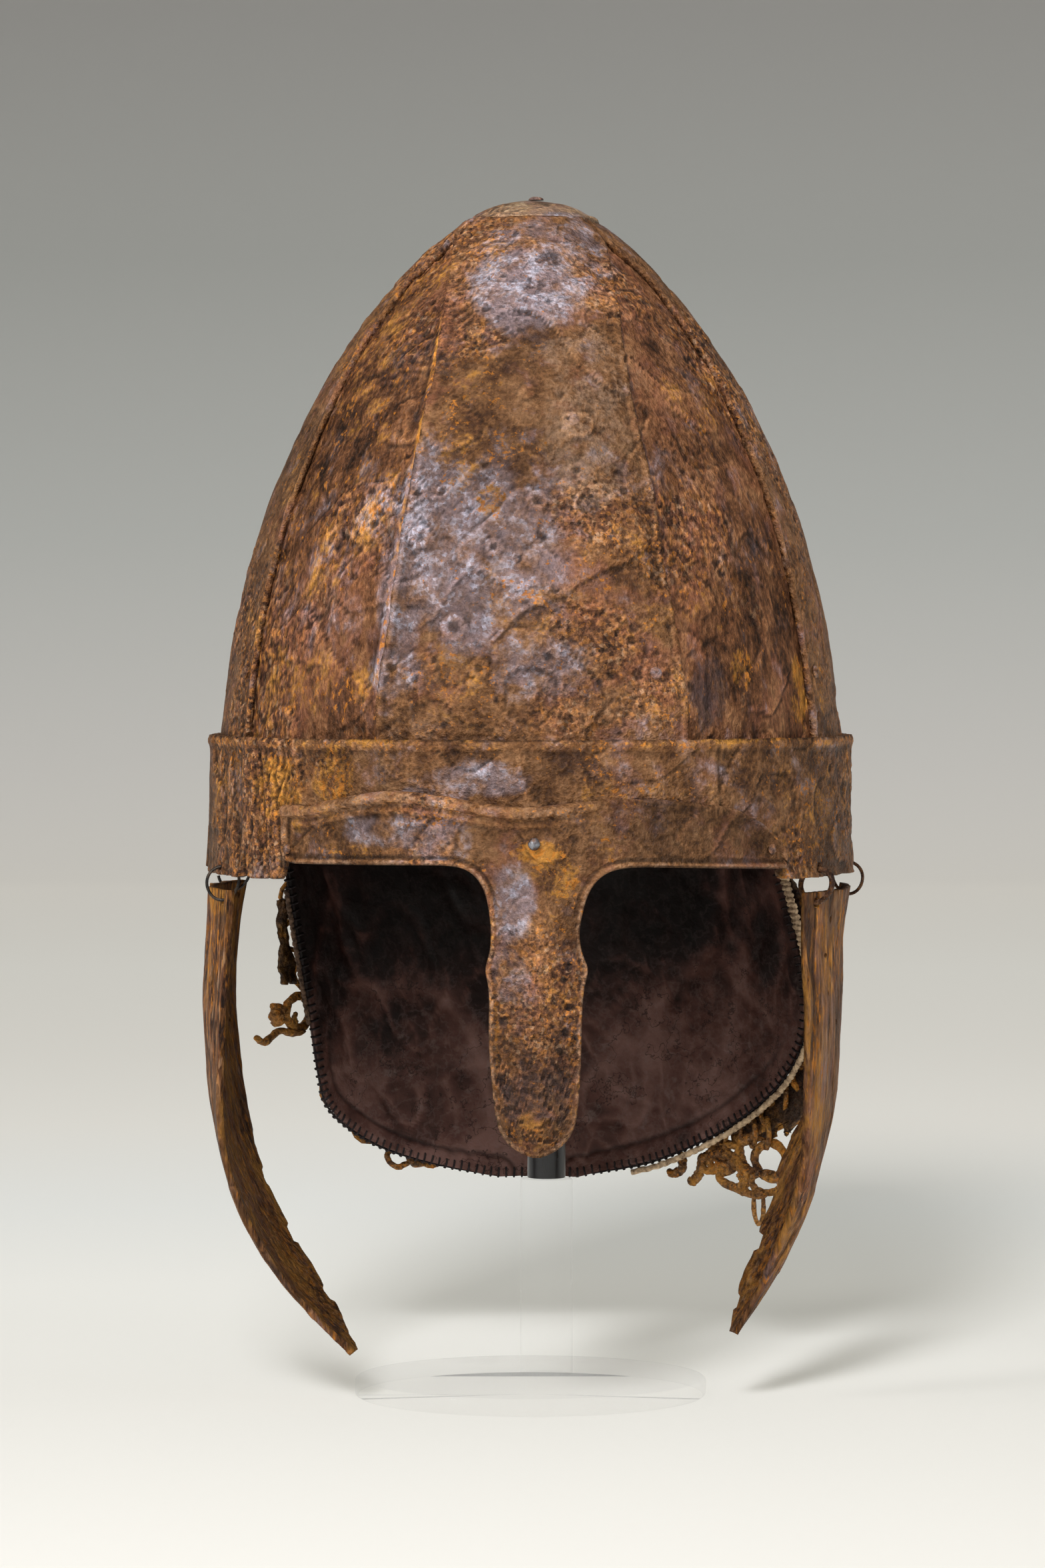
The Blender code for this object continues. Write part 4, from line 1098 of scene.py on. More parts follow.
def makeBrowPlate():
    sheet = browFaces(browPlate["levels"])
    edges = edgeTree(sheet)

    def edgeZone(point):  # the distance to the edge, how far the edge is the upper one, and how rolled it is
        nearest, _, edgeAway = edges.find(point)
        upper = smoothStep(188, 191, nearest.z / mm)
        return edgeAway / mm, upper, upper * smoothStep(30, 5, point.x / mm)

    def relief(point):
        height, pit = rustRelief(point, 0.75)
        x, z = point.x / mm, point.z / mm
        edgeAway, upper, roll = edgeZone(point)  # the roll along the upper edge fades to the right
        low = smoothStep(176, 166, z)
        lower = (1 - upper) * (1 - low)
        calm = max(hump(edgeAway - 2.6, 2.4) * roll, fade(0.8, 2.2, edgeAway) * (1 - upper))
        height *= 1 - 0.6 * calm
        pit *= 1 - 0.8 * calm
        height += 1.9 * roll * hump(edgeAway - 2.0, 1.7) + 0.8 * roll * hump(edgeAway - 5.6, 1.1)
        height += 0.5 * upper * (1 - roll) * fade(0.6, 1.6, edgeAway)
        height += lower * (0.9 * hump(edgeAway - 0.9, 0.9) - 0.35 * hump(edgeAway - 2.5, 0.6))
        speckle = smoothStep(132, 112, z) * smoothStep(0.15, 0.5, noise.fractal(point * 330, 0.7, 2, 3))
        height -= 0.45 * speckle
        pit = max(pit, speckle)
        height += 0.45 * low * hump(edgeAway - 0.8, 0.7)  # the thin raised rim
        beside = x - browPlate["ridgeX"]
        ridge = hump(beside, 1.1) * low * smoothStep(96, 110, z)
        fold = smoothStep(-9, 0, beside) * fade(0, 9, beside)
        height += 0.9 * fold * smoothStep(186, 170, z) * smoothStep(94, 104, z) + 0.25 * ridge
        for pitX, pitZ, radius in nasalPits:
            away = math.hypot(x - pitX, (z - pitZ) * 1.3) + 0.4 * noise.noise(point * 500)
            hole = fade(radius * 0.4, radius, away)
            height -= 0.8 * hole
            pit = max(pit, hole)
        return height, pit

    def wear_and_painted_light(point, pit):
        made = wearAndPaintedLightAt(point, browChart, pit, (0.2, 0.4, 0.3, 0.15))
        edgeAway, upper, roll = edgeZone(point)
        roll *= hump(edgeAway - 2.6, 2.6)
        lip = (1 - upper) * fade(1.2, 2.2, edgeAway)
        # painted shade: a dark line in the groove just inside the lower edges' lip
        above = (1 - upper) * hump(edgeAway - 2.6, 0.6)
        calm = 1 - max(roll, lip)
        made = [made[0] * calm, made[1] * calm + 0.35 * roll, max(made[2] * calm, 0.55 * above), made[3] * calm]
        made[3] = max(made[3], 0.62 * roll, 0.6 * lip)
        rim = fade(0.8, 1.8, edgeAway) * smoothStep(176, 166, point.z / mm)
        made[3] = max(made[3], 0.7 * rim)
        made[1] = max(made[1], 0.5 * rim)
        made[2] *= 1 - 0.7 * rim
        return made

    # darker low on the nasal, and painted shade towards the right
    def paintedLightAt(point):
        return -0.20 * smoothStep(146, 122, point.z / mm) - 0.15 * smoothStep(20, 40, point.x / mm)

    weather(sheet, browPlate["wall"], relief, wear_and_painted_light, paintedLightAt=paintedLightAt)
    pieceFrom("brow_and_nasal", sheet, "brow rust", "helmet", ["brow_plate"])


makeBrowPlate()
print("brow plate made")

# Crown disc and rivets

crown = {
    "radius": 23.2 * mm,
    "centreX": 0.6 * mm,
    "wall": 0.9 * mm,
    "rise": 9.2 * mm,
    "rings": 26,
    "steps": 110,
    "raisedFrom": 14 * mm,
    "raisedTo": 22 * mm,
}
crownChart = {
    "metal_and_painted_sheen": [(11, 400.5, 8, 1.6, 1.0)],
    "ochre": [(-8, 402, 14, 3, 0.4)],
    "pale": [(0, 403, 30, 8, 1.0)],
}


def makeCrown():  # a thin cap that hugs the plates' ends
    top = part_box("crown_disc")[1].z
    centre = Vector((crown["centreX"], 0, 0))
    radius, rings = crown["radius"], crown["rings"]

    def domeHeight(away):
        return top - crown["rise"] * (1 - (1 - min(away / radius, 1) ** 2) ** 0.72)

    profile = [(radius * step / rings, domeHeight(radius * step / rings)) for step in range(rings + 1)]
    sheet = turned(profile, crown["steps"])
    for vertex in sheet.verts:
        rim = smoothStep(0.8, 1, vertex.co.xy.length / radius)
        vertex.co.xy *= 1 + rim * 0.02 * noise.noise(vertex.co * 110)
        vertex.co += centre
        right = smoothStep(crown["raisedFrom"], crown["raisedTo"], vertex.co.x)  # it stands off at the right
        vertex.co.z += rim * (right * 0.9 - 0.5 * noise.noise(vertex.co * 70)) * mm
    if sum(face.normal.z for face in sheet.faces) < 0:
        bmesh.ops.reverse_faces(sheet, faces=sheet.faces)

    def relief(point):
        height, pit = rustRelief(point, 0.6)
        away = (point - centre).xy.length / radius
        return height + 0.25 * hump(away - 0.93, 0.05), pit * 0.5


    def wear_and_painted_light(point, pit):
        return wearAndPaintedLightAt(point, crownChart, pit, (0.1, 0.25, 0.15, 0.9))

    weather(sheet, crown["wall"], relief, wear_and_painted_light)
    pieceFrom("crown_cap", sheet, "crown rust", "helmet", ["crown_disc"])


rivet = {"rings": 7, "steps": 20}


def makeRivet(node, outward, finish, rise=1.0):  # a worn dome in a CAD rivet's place
    middle = boxCentre(node)
    turn = Vector((0, 0, 1)).rotation_difference(outward).to_matrix().to_4x4()
    corners = [turn.inverted() @ (vertex.co - middle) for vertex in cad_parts[node].data.vertices]
    radius = max(corner.xy.length for corner in corners)
    foot, top = min(corner.z for corner in corners), max(corner.z for corner in corners)
    top = foot + (top - foot) * rise
    profile = [(0, foot)]
    for step in range(rivet["rings"]):
        around = math.radians(90 * step / rivet["rings"])
        profile.append((radius * math.cos(around), foot + (top - foot) * math.sin(around) ** 0.9))
    profile.append((0, top))
    head = turned(profile, rivet["steps"])
    for vertex in head.verts:
        seed = middle * 900
        vertex.co.xy *= 1 + 0.10 * noise.noise(vertex.co * 900 + seed)
        if vertex.co.z > foot + 0.1 * mm:
            vertex.co.z += 0.14 * mm * noise.noise(vertex.co * 1300 + seed)
    setWearAndPaintedShading(head, lambda point: (0.5, 0.4, 0.2, 0.3), 0.6)
    bmesh.ops.transform(head, matrix=Matrix.Translation(middle) @ turn, verts=head.verts)
    pieceFrom(node + "_head", head, finish, "helmet", [node])


makeCrown()
makeRivet("crown_rivet", Vector((0, 0, 1)), "crown rust", 0.6)
for rivetName in ("nasal_rivet", "brow_rivet_left", "brow_rivet_right"):
    rivetFinish = "bare rivet" if rivetName == "nasal_rivet" else "brow rust"
    makeRivet(rivetName, bandOutward(planAngle(boxCentre(rivetName))), rivetFinish)
for number in range(1, 9):
    rivetAt = boxCentre(f"seam_rivet_{number}")
    rivetTurn = turnAtHeight(rivetAt.z)
    rivetAngle = planAngle(rivetAt)
    rivetOut = skullOffset(rivetAngle, rivetTurn, 1) - skullOffset(rivetAngle, rivetTurn, 0)
    makeRivet(f"seam_rivet_{number}", rivetOut, "plate rust")
print("crown and rivets made")

# Cheekpieces

cheek = {
    "wall": 2.2 * mm,
    "columns": 84,
    "rows": 176,
    "loopHole": 1.9 * mm,
    "pinhole": 1.1 * mm,
    "loopDrop": 5.9 * mm,
    "loopHeight": rimHeight - 1.4 * mm,
}
# Rows: height, front edge x, middle x, rear edge x, front edge y, rear edge y, in mm
leftCheek = [
    (174.2, -100.7, -109.4, -100.7, -44, 44),
    (157.0, -101.6, -110.6, -103.4, -44, 43),
    (137.0, -103.4, -111.4, -104.6, -44, 41),
    (117.0, -104.6, -110.0, -103.0, -43, 37),
    (98.0, -105.0, -107.4, -100.2, -42, 31),
    (80.0, -102.4, -102.8, -96.0, -40, 22),
    (62.0, -95.8, -95.2, -88.0, -38, 12),
    (44.0, -85.4, -84.8, -76.4, -36, 0),
    (28.0, -71.8, -71.0, -66.0, -33, -12),
    (17.0, -60.6, -60.4, -60.0, -30, -25),
]
rightCheek = [
    (174.2, 91.6, 106.2, 108.4, -66, 14),
    (157.0, 91.2, 104.4, 105.4, -65, 14),
    (137.0, 92.4, 104.4, 104.6, -64, 12),
    (117.0, 92.4, 103.8, 101.6, -62, 8),
    (99.0, 92.2, 101.6, 96.6, -60, 2),
    (82.0, 91.2, 97.2, 87.8, -56, -4),
    (67.0, 87.8, 92.8, 83.2, -52, -10),
    (50.0, 81.2, 85.4, 76.4, -47, -18),
    (36.0, 75.6, 77.2, 70.8, -42, -25),
    (24.5, 69.8, 69.6, 68.8, -37, -31),
]
leftPinholes = [(30, 149), (31, 126)]  # y and height, in mm
rightPinholes = [(-46, 165), (-50, 153), (-48, 140), (-38, 130), (-30, 75), (-35, 36)]


def cheekPoint(table, across, height):  # across runs from -1 at the front edge to 1 at the rear edge
    front, middle, rear, frontY, rearY = (readRow(table, height, column) for column in range(1, 6))
    x = middle + (rear - front) / 2 * across + ((rear + front) / 2 - middle) * across**2
    return Vector((x, frontY + (rearY - frontY) * (across + 1) / 2, height)) * mm


def streaksAt(point):  # the cheekpieces' rust runs in upright streaks
    return Vector((point.x * 60, point.y * 260, point.z * 17))


def makeCheek(name, table, side, loopAngles, pinholes, body):
    top, tip = table[0][0], table[-1][0]

    def place(across, up):
        height = tip + (top - tip) * up
        part = side * (2 * across - 1)
        seed = Vector((0, 40 if part > 0 else -40, height * 0.11))
        low = smoothStep(110, 50, height)
        bite = (0.8 * noise.noise(seed) + 0.25 * noise.noise(seed * 3.1)) * (0.35 + 0.9 * low)
        width = abs(readRow(table, height, 5) - readRow(table, height, 4))
        if part > 0:  # the rear edge is broken away in steps low down
            bite += low * 1.8 * smoothStep(0.02, 0.2, waver(7, 0, height * 0.16))
        part *= 1 - min(max(bite / max(width / 2, 6), -0.03), 0.12) * smoothStep(0.3, 1, abs(part))
        crooked = 0.5 * waver(part * 3, side, height * 0.05) * smoothStep(0.75, 1, up)
        return cheekPoint(table, part, height - max(crooked, -0.2))

    def relief(point):
        height, pit = rustRelief(point, 0.7, (1, 1, 0.3))
        height += 0.32 * noise.fractal(streaksAt(point), 0.9, 2.0, 3)
        crack = smoothStep(0.30, 0.42, noise.noise(streaksAt(point) * 0.8 + Vector((3, 3, 3))))
        height += 0.3 * noise.noise(point * 22) - 0.45 * crack
        return height, max(pit * 0.6, crack)

    def wear_and_painted_light(point, pit):
        tonesHere = wearAndPaintedLightAt(point, {}, pit, (0.10, 0.55, 0.3, 0.25))
        if side > 0:  # an orange front strip, low down, beside a smooth brown outer face
            strip = smoothStep(-12, -34, point.y / mm) * smoothStep(120, 90, point.z / mm)
            tonesHere[1] = max(tonesHere[1], 0.55 * strip)
            front = smoothStep(-48, -58, point.y / mm) if point.z > 90 * mm else 0
            tonesHere[1] = max(tonesHere[1], 0.6 * front)
        if side < 0:  # rust has gathered round the loops' holes
            tonesHere[1] = max(tonesHere[1], 0.9 * smoothStep(160, 168, point.z / mm))
        return tonesHere

    sheet = gridSheet(cheek["columns"], cheek["rows"], place)
    for angle in loopAngles:
        hole = bandPoint(angle, cheek["loopHeight"] + cheek["loopDrop"], -band["wall"] / 2)
        hole.z = cheek["loopHeight"] - cheek["loopDrop"]
        nearest = min(sheet.verts, key=lambda vertex: (vertex.co - hole).length).co.copy()
        punchHole(sheet, Vector((nearest.x, hole.y, hole.z)), cheek["loopHole"])
    for y, z in pinholes:
        nearest = min(sheet.verts, key=lambda vertex: (vertex.co.yz - Vector((y, z)) * mm).length).co.copy()
        punchHole(sheet, nearest, cheek["pinhole"])
    # the inner face darkened with painted shade
    weather(sheet, cheek["wall"], relief, wear_and_painted_light, (0, 0.7, 0.35, 0), 0.26)
    sheet.normal_update()
    inner = [vertex for vertex in sheet.verts if vertex.normal.x * side < -0.3]
    for vertex in inner:
        vertex.co += vertex.normal * 0.3 * mm * noise.fractal(streaksAt(vertex.co), 0.9, 2.0, 3)
    pieceFrom("cheek_" + name, sheet, "cheek rust", body, ["cheekpiece_" + name])


makeCheek("left", leftCheek, -1, band["leftLoops"], leftPinholes, "cheek_left")
makeCheek("right", rightCheek, 1, band["rightLoops"], rightPinholes, "cheek_right")


loop = {"cadWire": 0.9 * mm, "width": 0.94, "steps": 44, "sides": 9}


def makeLoop(node, other, wire, flat, finish, twist):  # a bent wire loop, in the CAD loop's plane
    low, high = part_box(node)
    centre = boxCentre(node)
    up = Vector((0, 0, 1))
    axis = (boxCentre(other) - centre).normalized()
    across = axis.cross(up).normalized()
    radius = (high.z - low.z) / 2 - loop["cadWire"]
    route = []
    for step in range(loop["steps"]):
        turn = math.tau * step / loop["steps"]
        wander = 1 + 0.05 * math.sin(2 * turn + twist * 3) + 0.03 * math.sin(3 * turn)
        point = centre + (across * math.cos(turn) * loop["width"] + up * math.sin(turn)) * radius * wander
        route.append(point + axis * twist * mm * math.sin(turn * 0.5))

    def radiusAt(along, around):
        lump = 1 + 0.1 * waver(along * 30, around, 2)
        return wire * (1 + flat * abs(math.cos(around))) * lump

    ring = tube(route, radiusAt, loop["sides"], closed=not twist)
    setWearAndPaintedShading(ring, lambda point: (0.1, 0.3, 0.6, 0.1), 0.35)
    pieceFrom(node + "_wire", ring, finish, "helmet", [node])


makeLoop("loop_left_front", "loop_left_rear", 0.5 * mm, 0.1, "dark wire", 0)
makeLoop("loop_left_rear", "loop_left_front", 0.5 * mm, 0.1, "dark wire", 0.9)
makeLoop("loop_right_front", "loop_right_rear", 0.7 * mm, 0.6, "loop rust", 0)
makeLoop("loop_right_rear", "loop_right_front", 0.55 * mm, 0.1, "loop rust", 0)
print("cheekpieces and loops made")

# Neck curtain

curtain = {
    "leatherRadius": 103.2 * mm,
    "leatherWall": 1.6 * mm,
    "levels": 3,
    "mailRadius": 106.1 * mm,
    "mailWall": 2.4 * mm,
    "mailEase": 3 * mm,
    "mailEaseHeight": 20 * mm,
    "flare": 6 * mm,
    "fold": 1.0 * mm,
    "folds": 7,
    "foot": 64.5 * mm,
    "flatReach": 57 + 63,
    "flatDrop": 0.126,
    "stitchPitch": 2.9 * mm,
    "stitchReach": 2.9 * mm,
    "threadRadius": 0.42 * mm,
    "threadPitch": 1.6 * mm,
    "stitchTop": 178 * mm,
}
leatherEdges = [  # height in mm, reach to the left of the back, reach to the right, in degrees
    (187.0, 57.0, 58.0),
    (176.0, 57.0, 58.5),
    (151.0, 53.5, 61.5),
    (134.0, 51.0, 63.0),
    (118.0, 48.6, 62.0),
    (103.0, 47.0, 57.0),
    (92.0, 44.6, 50.0),
    (83.0, 38.5, 42.0),
    (75.0, 30.0, 32.5),
    (69.0, 19.5, 23.0),
    (64.5, 7.0, 10.0),
]
mailEdges = [
    (187.0, 56.0, 58.0),
    (177.0, 55.6, 59.0),
    (160.0, 55.0, 61.0),
    (135.5, 54.6, 64.6),
    (131.8, 47.2, 64.7),
    (118.0, 46.8, 65.0),
    (101.0, 45.0, 63.5),
    (91.0, 43.0, 60.5),
    (83.4, 38.0, 57.0),
]


def mailEdge(height, column):  # the mail's reach at a height in mm, straight between the rows
    rows = sorted(mailEdges)
    return float(np.interp(height, [row[0] for row in rows], [row[column] for row in rows]))


def curtainPoint(reach, height, radius):  # reach is the angle from the back, positive to the right
    drop = max(rimHeight - height, 0) / (rimHeight - curtain["foot"])
    swell = math.sin(math.pi * min(drop * 1.1, 1)) * (max(reach, 0) / 60) ** 2
    fold = math.sin(math.radians(reach * curtain["folds"]))
    radius += curtain["flare"] * swell + curtain["fold"] * drop * fold
    around = math.radians(reach)
    return Vector((radius * math.sin(around), radius * skull["depthRatio"] * math.cos(around), height))


def curtainFlat(reach, height):  # the same place laid flat, in metres
    return Vector((math.radians(reach) * curtain["leatherRadius"], height))


def flatPoint(flat, radius):  # a flat place back on the hanging curtain
    return curtainPoint(math.degrees(flat.x / curtain["leatherRadius"]), flat.y, radius)


def curtainOutline():  # the leather's edge laid flat: down the left, along the foot, up the right
    heights = np.linspace(leatherEdges[0][0], curtain["foot"] / mm, 90)
    left = [curtainFlat(-readRow(leatherEdges, z, 1), z * mm) for z in heights]
    right = [curtainFlat(readRow(leatherEdges, z, 2), z * mm) for z in heights[::-1]]
    return left + right


def evenPlaces(route, pitch):  # points at an equal pitch along a route, each with the way along it
    run = [0]
    for before, after in zip(route, route[1:]):
        run.append(run[-1] + (after - before).length)
    places = []
    for distance in np.arange(pitch / 2, run[-1], pitch):
        index = min(max(int(np.searchsorted(run, distance)) - 1, 0), len(route) - 2)
        part = (distance - run[index]) / max(run[index + 1] - run[index], 1e-9)
        point = route[index].lerp(route[index + 1], part)
        places.append((point, (route[index + 1] - route[index]).normalized()))
    return places


def leatherRelief(point, edgeAway):  # wrinkles and pulls in mm, and how far up a wrinkle's ridge the point is
    def crests(x, y, z, sharpness):
        return max(1 - abs(waver(x, y, z)) * sharpness, 0)

    ridges = crests(point.x * 30 + 2, point.y * 30, point.z * 13 + 5, 5)
    creased = crests((point.x + point.z) * 44, point.y * 50, (point.z - point.x) * 24, 6)
    fine = crests(point.x * 95, point.y * 95, point.z * 70, 5)
    pulled = waver(point.x * 11, point.y * 11, point.z * 7)
    slack = smoothStep(1.5, 9, edgeAway)
    height = (0.9 * ridges**2 + 0.7 * creased**2 + 0.4 * fine**2) * slack + 1.2 * pulled * slack
    broken = smoothStep(-0.15, 0.3, noise.noise(point * 60))
    ridge = 0.6 * ridges**2 + 0.7 * creased**3 * broken + 0.35 * fine**2
    return height + 0.12 * noise.noise(point * 300), min(ridge, 1)


def makeLeatherCurtain():
    def outward(point):
        return Vector((point.x, point.y / skull["depthRatio"] ** 2, 0)).normalized()

    sheet = subdivided(outerFaces("neck_curtain_leather", outward, 0.45), curtain["levels"])
    edges = edgeTree(sheet)
    sheet.normal_update()
    layer = sheet.verts.layers.float_color.new("wear_and_painted_light")
    footLine = treeOf([place.to_3d() for place in curtainOutline()])
    moved = []
    for vertex in sheet.verts:
        edgeAway = edges.find(vertex.co)[2] / mm
        reach = math.degrees(math.atan2(vertex.co.x, vertex.co.y / skull["depthRatio"]))
        flat = curtainFlat(reach, vertex.co.z)
        lineAway = footLine.find(flat.to_3d())[2] / mm
        height, ridge = leatherRelief(vertex.co, edgeAway)
        inFoot = smoothStep(125 * mm, 105 * mm, vertex.co.z)
        seamAway = lineAway - 7.5 - 2.0 * noise.noise(vertex.co * 25)
        crease = hump(seamAway, 0.8) * inFoot
        height += 0.55 * crease
        # painted light: the leather lighter low down and to the right
        paintedLightLowDown = smoothStep(160 * mm, 100 * mm, vertex.co.z) + 0.25 * smoothStep(20 * mm, 80 * mm, vertex.co.x)
        moved.append((vertex, vertex.co + vertex.normal * height * mm))
        vertex[layer] = (min(paintedLightLowDown, 1), ridge, 0.75 * crease, 0)
    for vertex, place in moved:
        vertex.co = place
    bmesh.ops.solidify(sheet, geom=sheet.faces[:], thickness=curtain["leatherWall"])
    replaced = ["neck_curtain_leather"]
    piece = pieceFrom("curtain_leather", sheet, "curtain leather", "helmet", replaced)


def makeStitches():  # blanket stitches over the leather's edge, and the thread that runs along it
    stitches = bmesh.new()
    inside = curtain["leatherRadius"] - curtain["leatherWall"] - curtain["threadRadius"] * 0.6
    outside = curtain["leatherRadius"] + curtain["threadRadius"] * 0.6
    middle = (inside + outside) / 2
    outline = [place for place in curtainOutline() if place.y < curtain["stitchTop"]]
    for number, (place, along) in enumerate(evenPlaces(outline, curtain["stitchPitch"])):
        inward = Vector((-along.y, along.x))
        wander = waver(number * 0.7, 3, 1)
        reach = curtain["stitchReach"] * (1 + 0.25 * wander)
        slant = along * 0.5 * mm * waver(number * 0.9, 8, 1)

        def at(depth, radius):
            return flatPoint(place + inward * depth + slant * depth / curtain["stitchReach"], radius)

        sunk = curtain["threadRadius"]
        route = [
            at(reach, inside + sunk * 1.6),
            at(reach * 0.93, inside),
            at(reach * 0.5, inside - sunk * 0.3),
            at(0.1 * mm, inside),
            at(-0.35 * mm, middle - sunk),
            at(-0.35 * mm, middle + sunk),
            at(0.1 * mm, outside),
            at(reach * 0.8, outside),
            at(reach, outside - sunk * 1.6),
        ]
        join(stitches, tube(route, lambda up, turn: curtain["threadRadius"], 5))
    run = []
    for number, (place, along) in enumerate(evenPlaces(outline, curtain["threadPitch"])):
        inward = Vector((-along.y, along.x))
        flat = place + inward * (0.15 + 0.2 * waver(number * 0.8, 5, 2)) * mm
        run.append(flatPoint(flat, middle))
    join(stitches, tube(run, lambda up, turn: curtain["threadRadius"] * 0.9, 6))
    pieceFrom("leather_stitches", stitches, "dark thread", "helmet", [])


def edgeRoute(column, side, high, low, outside):  # points beside the leather's edge, from high to low
    route = []
    heights = np.linspace(high, low, 60)
    flat = [curtainFlat(side * readRow(leatherEdges, z, column), z * mm) for z in heights]
    middle = curtain["leatherRadius"] - curtain["leatherWall"] / 2
    for index, point in enumerate(flat):
        along = flat[min(index + 1, len(flat) - 1)] - flat[max(index - 1, 0)]
        away = Vector((-along.y, along.x)).normalized() * outside * side
        wander = 0.3 * mm * waver(index * 0.35, side, 0)
        route.append(flatPoint(point + away, middle + wander))
    return route


cordSides = 12
# Each cord: the leather's edge and side, its top and foot in mm, how far out it lies, its radius and wraps
cords = {
    "piping_right": ((2, 1, 122, 68, 1.8 * mm), 1.15 * mm, 44, "pale cord", "edge_piping_right"),
    "whipping_right": ((2, 1, 177, 146, 2.0 * mm), 1.6 * mm, 16, "pale cord", "whipped_edge_right"),
    "whipping_left": ((1, -1, 170, 122, 1.2 * mm), 0.9 * mm, 26, "brown cord", "whipped_edge_left"),
}


def makeCord(name, edge, radius, wraps, finish, node):  # a cord bound with thread
    route = edgeRoute(*edge)
    fine = []
    for before, after in zip(route, route[1:]):
        fine += [before.lerp(after, part / 4) for part in range(4)]
    fine.append(route[-1])

    def radiusAt(up, turn):
        wrap = abs(math.sin(math.pi * (up * wraps + turn / math.tau)))
        lump = 1 + 0.22 * waver(up * 40, math.cos(turn), math.sin(turn))
        return radius * (0.62 + 0.42 * wrap**0.7) * lump

    pieceFrom(name, tube(fine, radiusAt, cordSides), finish, "helmet", [node])


mail = {
    "rowPitch": 7 * mm,
    "columnAngle": 3.6,
    "turn": 34,
    "topHeight": rimHeight + 3 * mm,
    "ringRadius": 5.4 * mm,
    "ringSteps": 12,
    "ringSides": 5,
    "wire": 1.0 * mm,
    "rows": range(1, 15),
    "columns": range(-20, 21),
    "edgeMargin": 3.4,  # degrees from the sheet's edge to its outermost rings' centres
}


def addRing(target, centre, normal, seed):  # one uneven link of the sheet
    side = normal.cross(Vector((0, 0, 1))).normalized()
    up = side.cross(normal).normalized()
    route = []
    for step in range(mail["ringSteps"]):
        turn = math.tau * (step / mail["ringSteps"]) + seed * 2.1
        wander = 1 + 0.045 * waver(math.cos(turn) * 1.5, math.sin(turn) * 1.5, seed)
        route.append(centre + (side * math.cos(turn) + up * math.sin(turn)) * mail["ringRadius"] * wander)

    def radiusAt(up, turn):
        return mail["wire"] * (1.08 + 0.42 * waver(up * 9, math.cos(turn) * 0.6, seed * 3.7))

    join(target, tube(route, radiusAt, mail["ringSides"], closed=True))


# Loose rings past the sheet: row, first column, last column
fringe = [(8, -15, -14), (9, -16, -15), (15, -8, -6), (15, 8, 14), (16, 11, 14), (17, 13, 14), (18, 14, 14)]


def mailRadius(height):
    part = min(max((mailEdges[0][0] * mm - height) / curtain["mailEaseHeight"], 0), 1)
    return curtain["mailRadius"] + curtain["mailEase"] * (3 - 2 * part) * part**2


def mailMiddle(height):
    return mailRadius(height) - curtain["mailWall"] / 2


def ringPlace(row, column):  # a lattice ring's centre and the way it faces
    height = mail["topHeight"] - mail["rowPitch"] * row
    middle = mailMiddle(height)
    reach = mail["columnAngle"] * (column + 0.5 * (row % 2))
    centre = curtainPoint(reach, height, middle)
    beside = curtainPoint(reach + 0.1, height, middle) - centre
    outward = Vector((0, 0, 1)).cross(beside).normalized()
    turn = mail["turn"] if row % 2 else -mail["turn"]
    return centre, Matrix.Rotation(math.radians(turn), 3, "Z") @ outward, reach


def mailWear(point):
    ochre = 0.6 + 0.4 * smoothStep(-0.2, 0.4, noise.noise(point * 70))
    dark = 0.5 * smoothStep(0.0, 0.4, noise.noise(point * 90 + Vector((3, 3, 3))))
    return (0.1, ochre, dark, 0.15)


crust = {
    "columns": 26,
    "rowsPerMm": 1.3,
    "wall": 1.6 * mm,
    "left": (166, 135.8),  # top and foot in mm
    "right": (184, 81),
    "rightHoles": ((89.5, 83.7, 3.1), (76, 84, 1.6)),  # x, height and radius in mm
}


def makeCrustInPaintedShade(side, column, high, low, holes=()):  # rings rusted together beside the leather's edge, where the mail lies in shade, darkened near black as painted shade
    def place(across, up):
        ragged = max(0, waver(across * 5, side, 3) + 0.1)
        height = low + (high - low) * up + 5 * (1 - up) ** 8 * ragged
        bite = 0.6 * waver(side, 0, height * 0.25) + 0.4 * waver(side, 5, height * 0.8)
        outer = mailEdge(height, column) - 0.5 + bite
        inner = min(readRow(leatherEdges, height, column) - 1.5, outer - 1.5)
        reach = side * (inner + (outer - inner) * across)
        sag = 0.8 * waver(across * 3, height * 0.15, 4) * mm
        return curtainPoint(reach, height * mm, mailMiddle(height * mm) + sag)

    strip = gridSheet(crust["columns"], round((high - low) * crust["rowsPerMm"]), place)
    if sum(face.normal.dot(face.calc_center_median()) for face in strip.faces) > 0:
        bmesh.ops.reverse_faces(strip, faces=strip.faces)
    for x, height, radius in holes:
        hole = Vector((x, height)) * mm
        nearest = min(strip.verts, key=lambda vertex: (vertex.co.xz - hole).length)
        punchHole(strip, nearest.co.copy(), radius * mm)

    def relief(point):
        rings = abs(noise.noise(point * 120)) * 3.2
        return 0.8 * noise.noise(point * 210) + rings + 0.5 * noise.noise(point * 420), 0

    def wear_and_painted_light(point, pit):
        spots = smoothStep(0.18, 0.34, noise.noise(point * 95 + Vector((2, 2, 7))))
        low = smoothStep(100, 88, point.z / mm)
        return (0, max(spots, 0.7 * low), 0.95 * (1 - spots) * (1 - 0.7 * low), 0)

    weather(strip, crust["wall"], relief, wear_and_painted_light, (0, 0.2, 0.95, 0), 0.1)
    paintedShadingLayer = strip.verts.layers.float["paintedShading"]
    for vertex in strip.verts:
        # painted shade: the strip near black, less dark low down
        vertex[paintedShadingLayer] *= 0.25 + 0.6 * smoothStep(104 * mm, 88 * mm, vertex.co.z)
    return strip


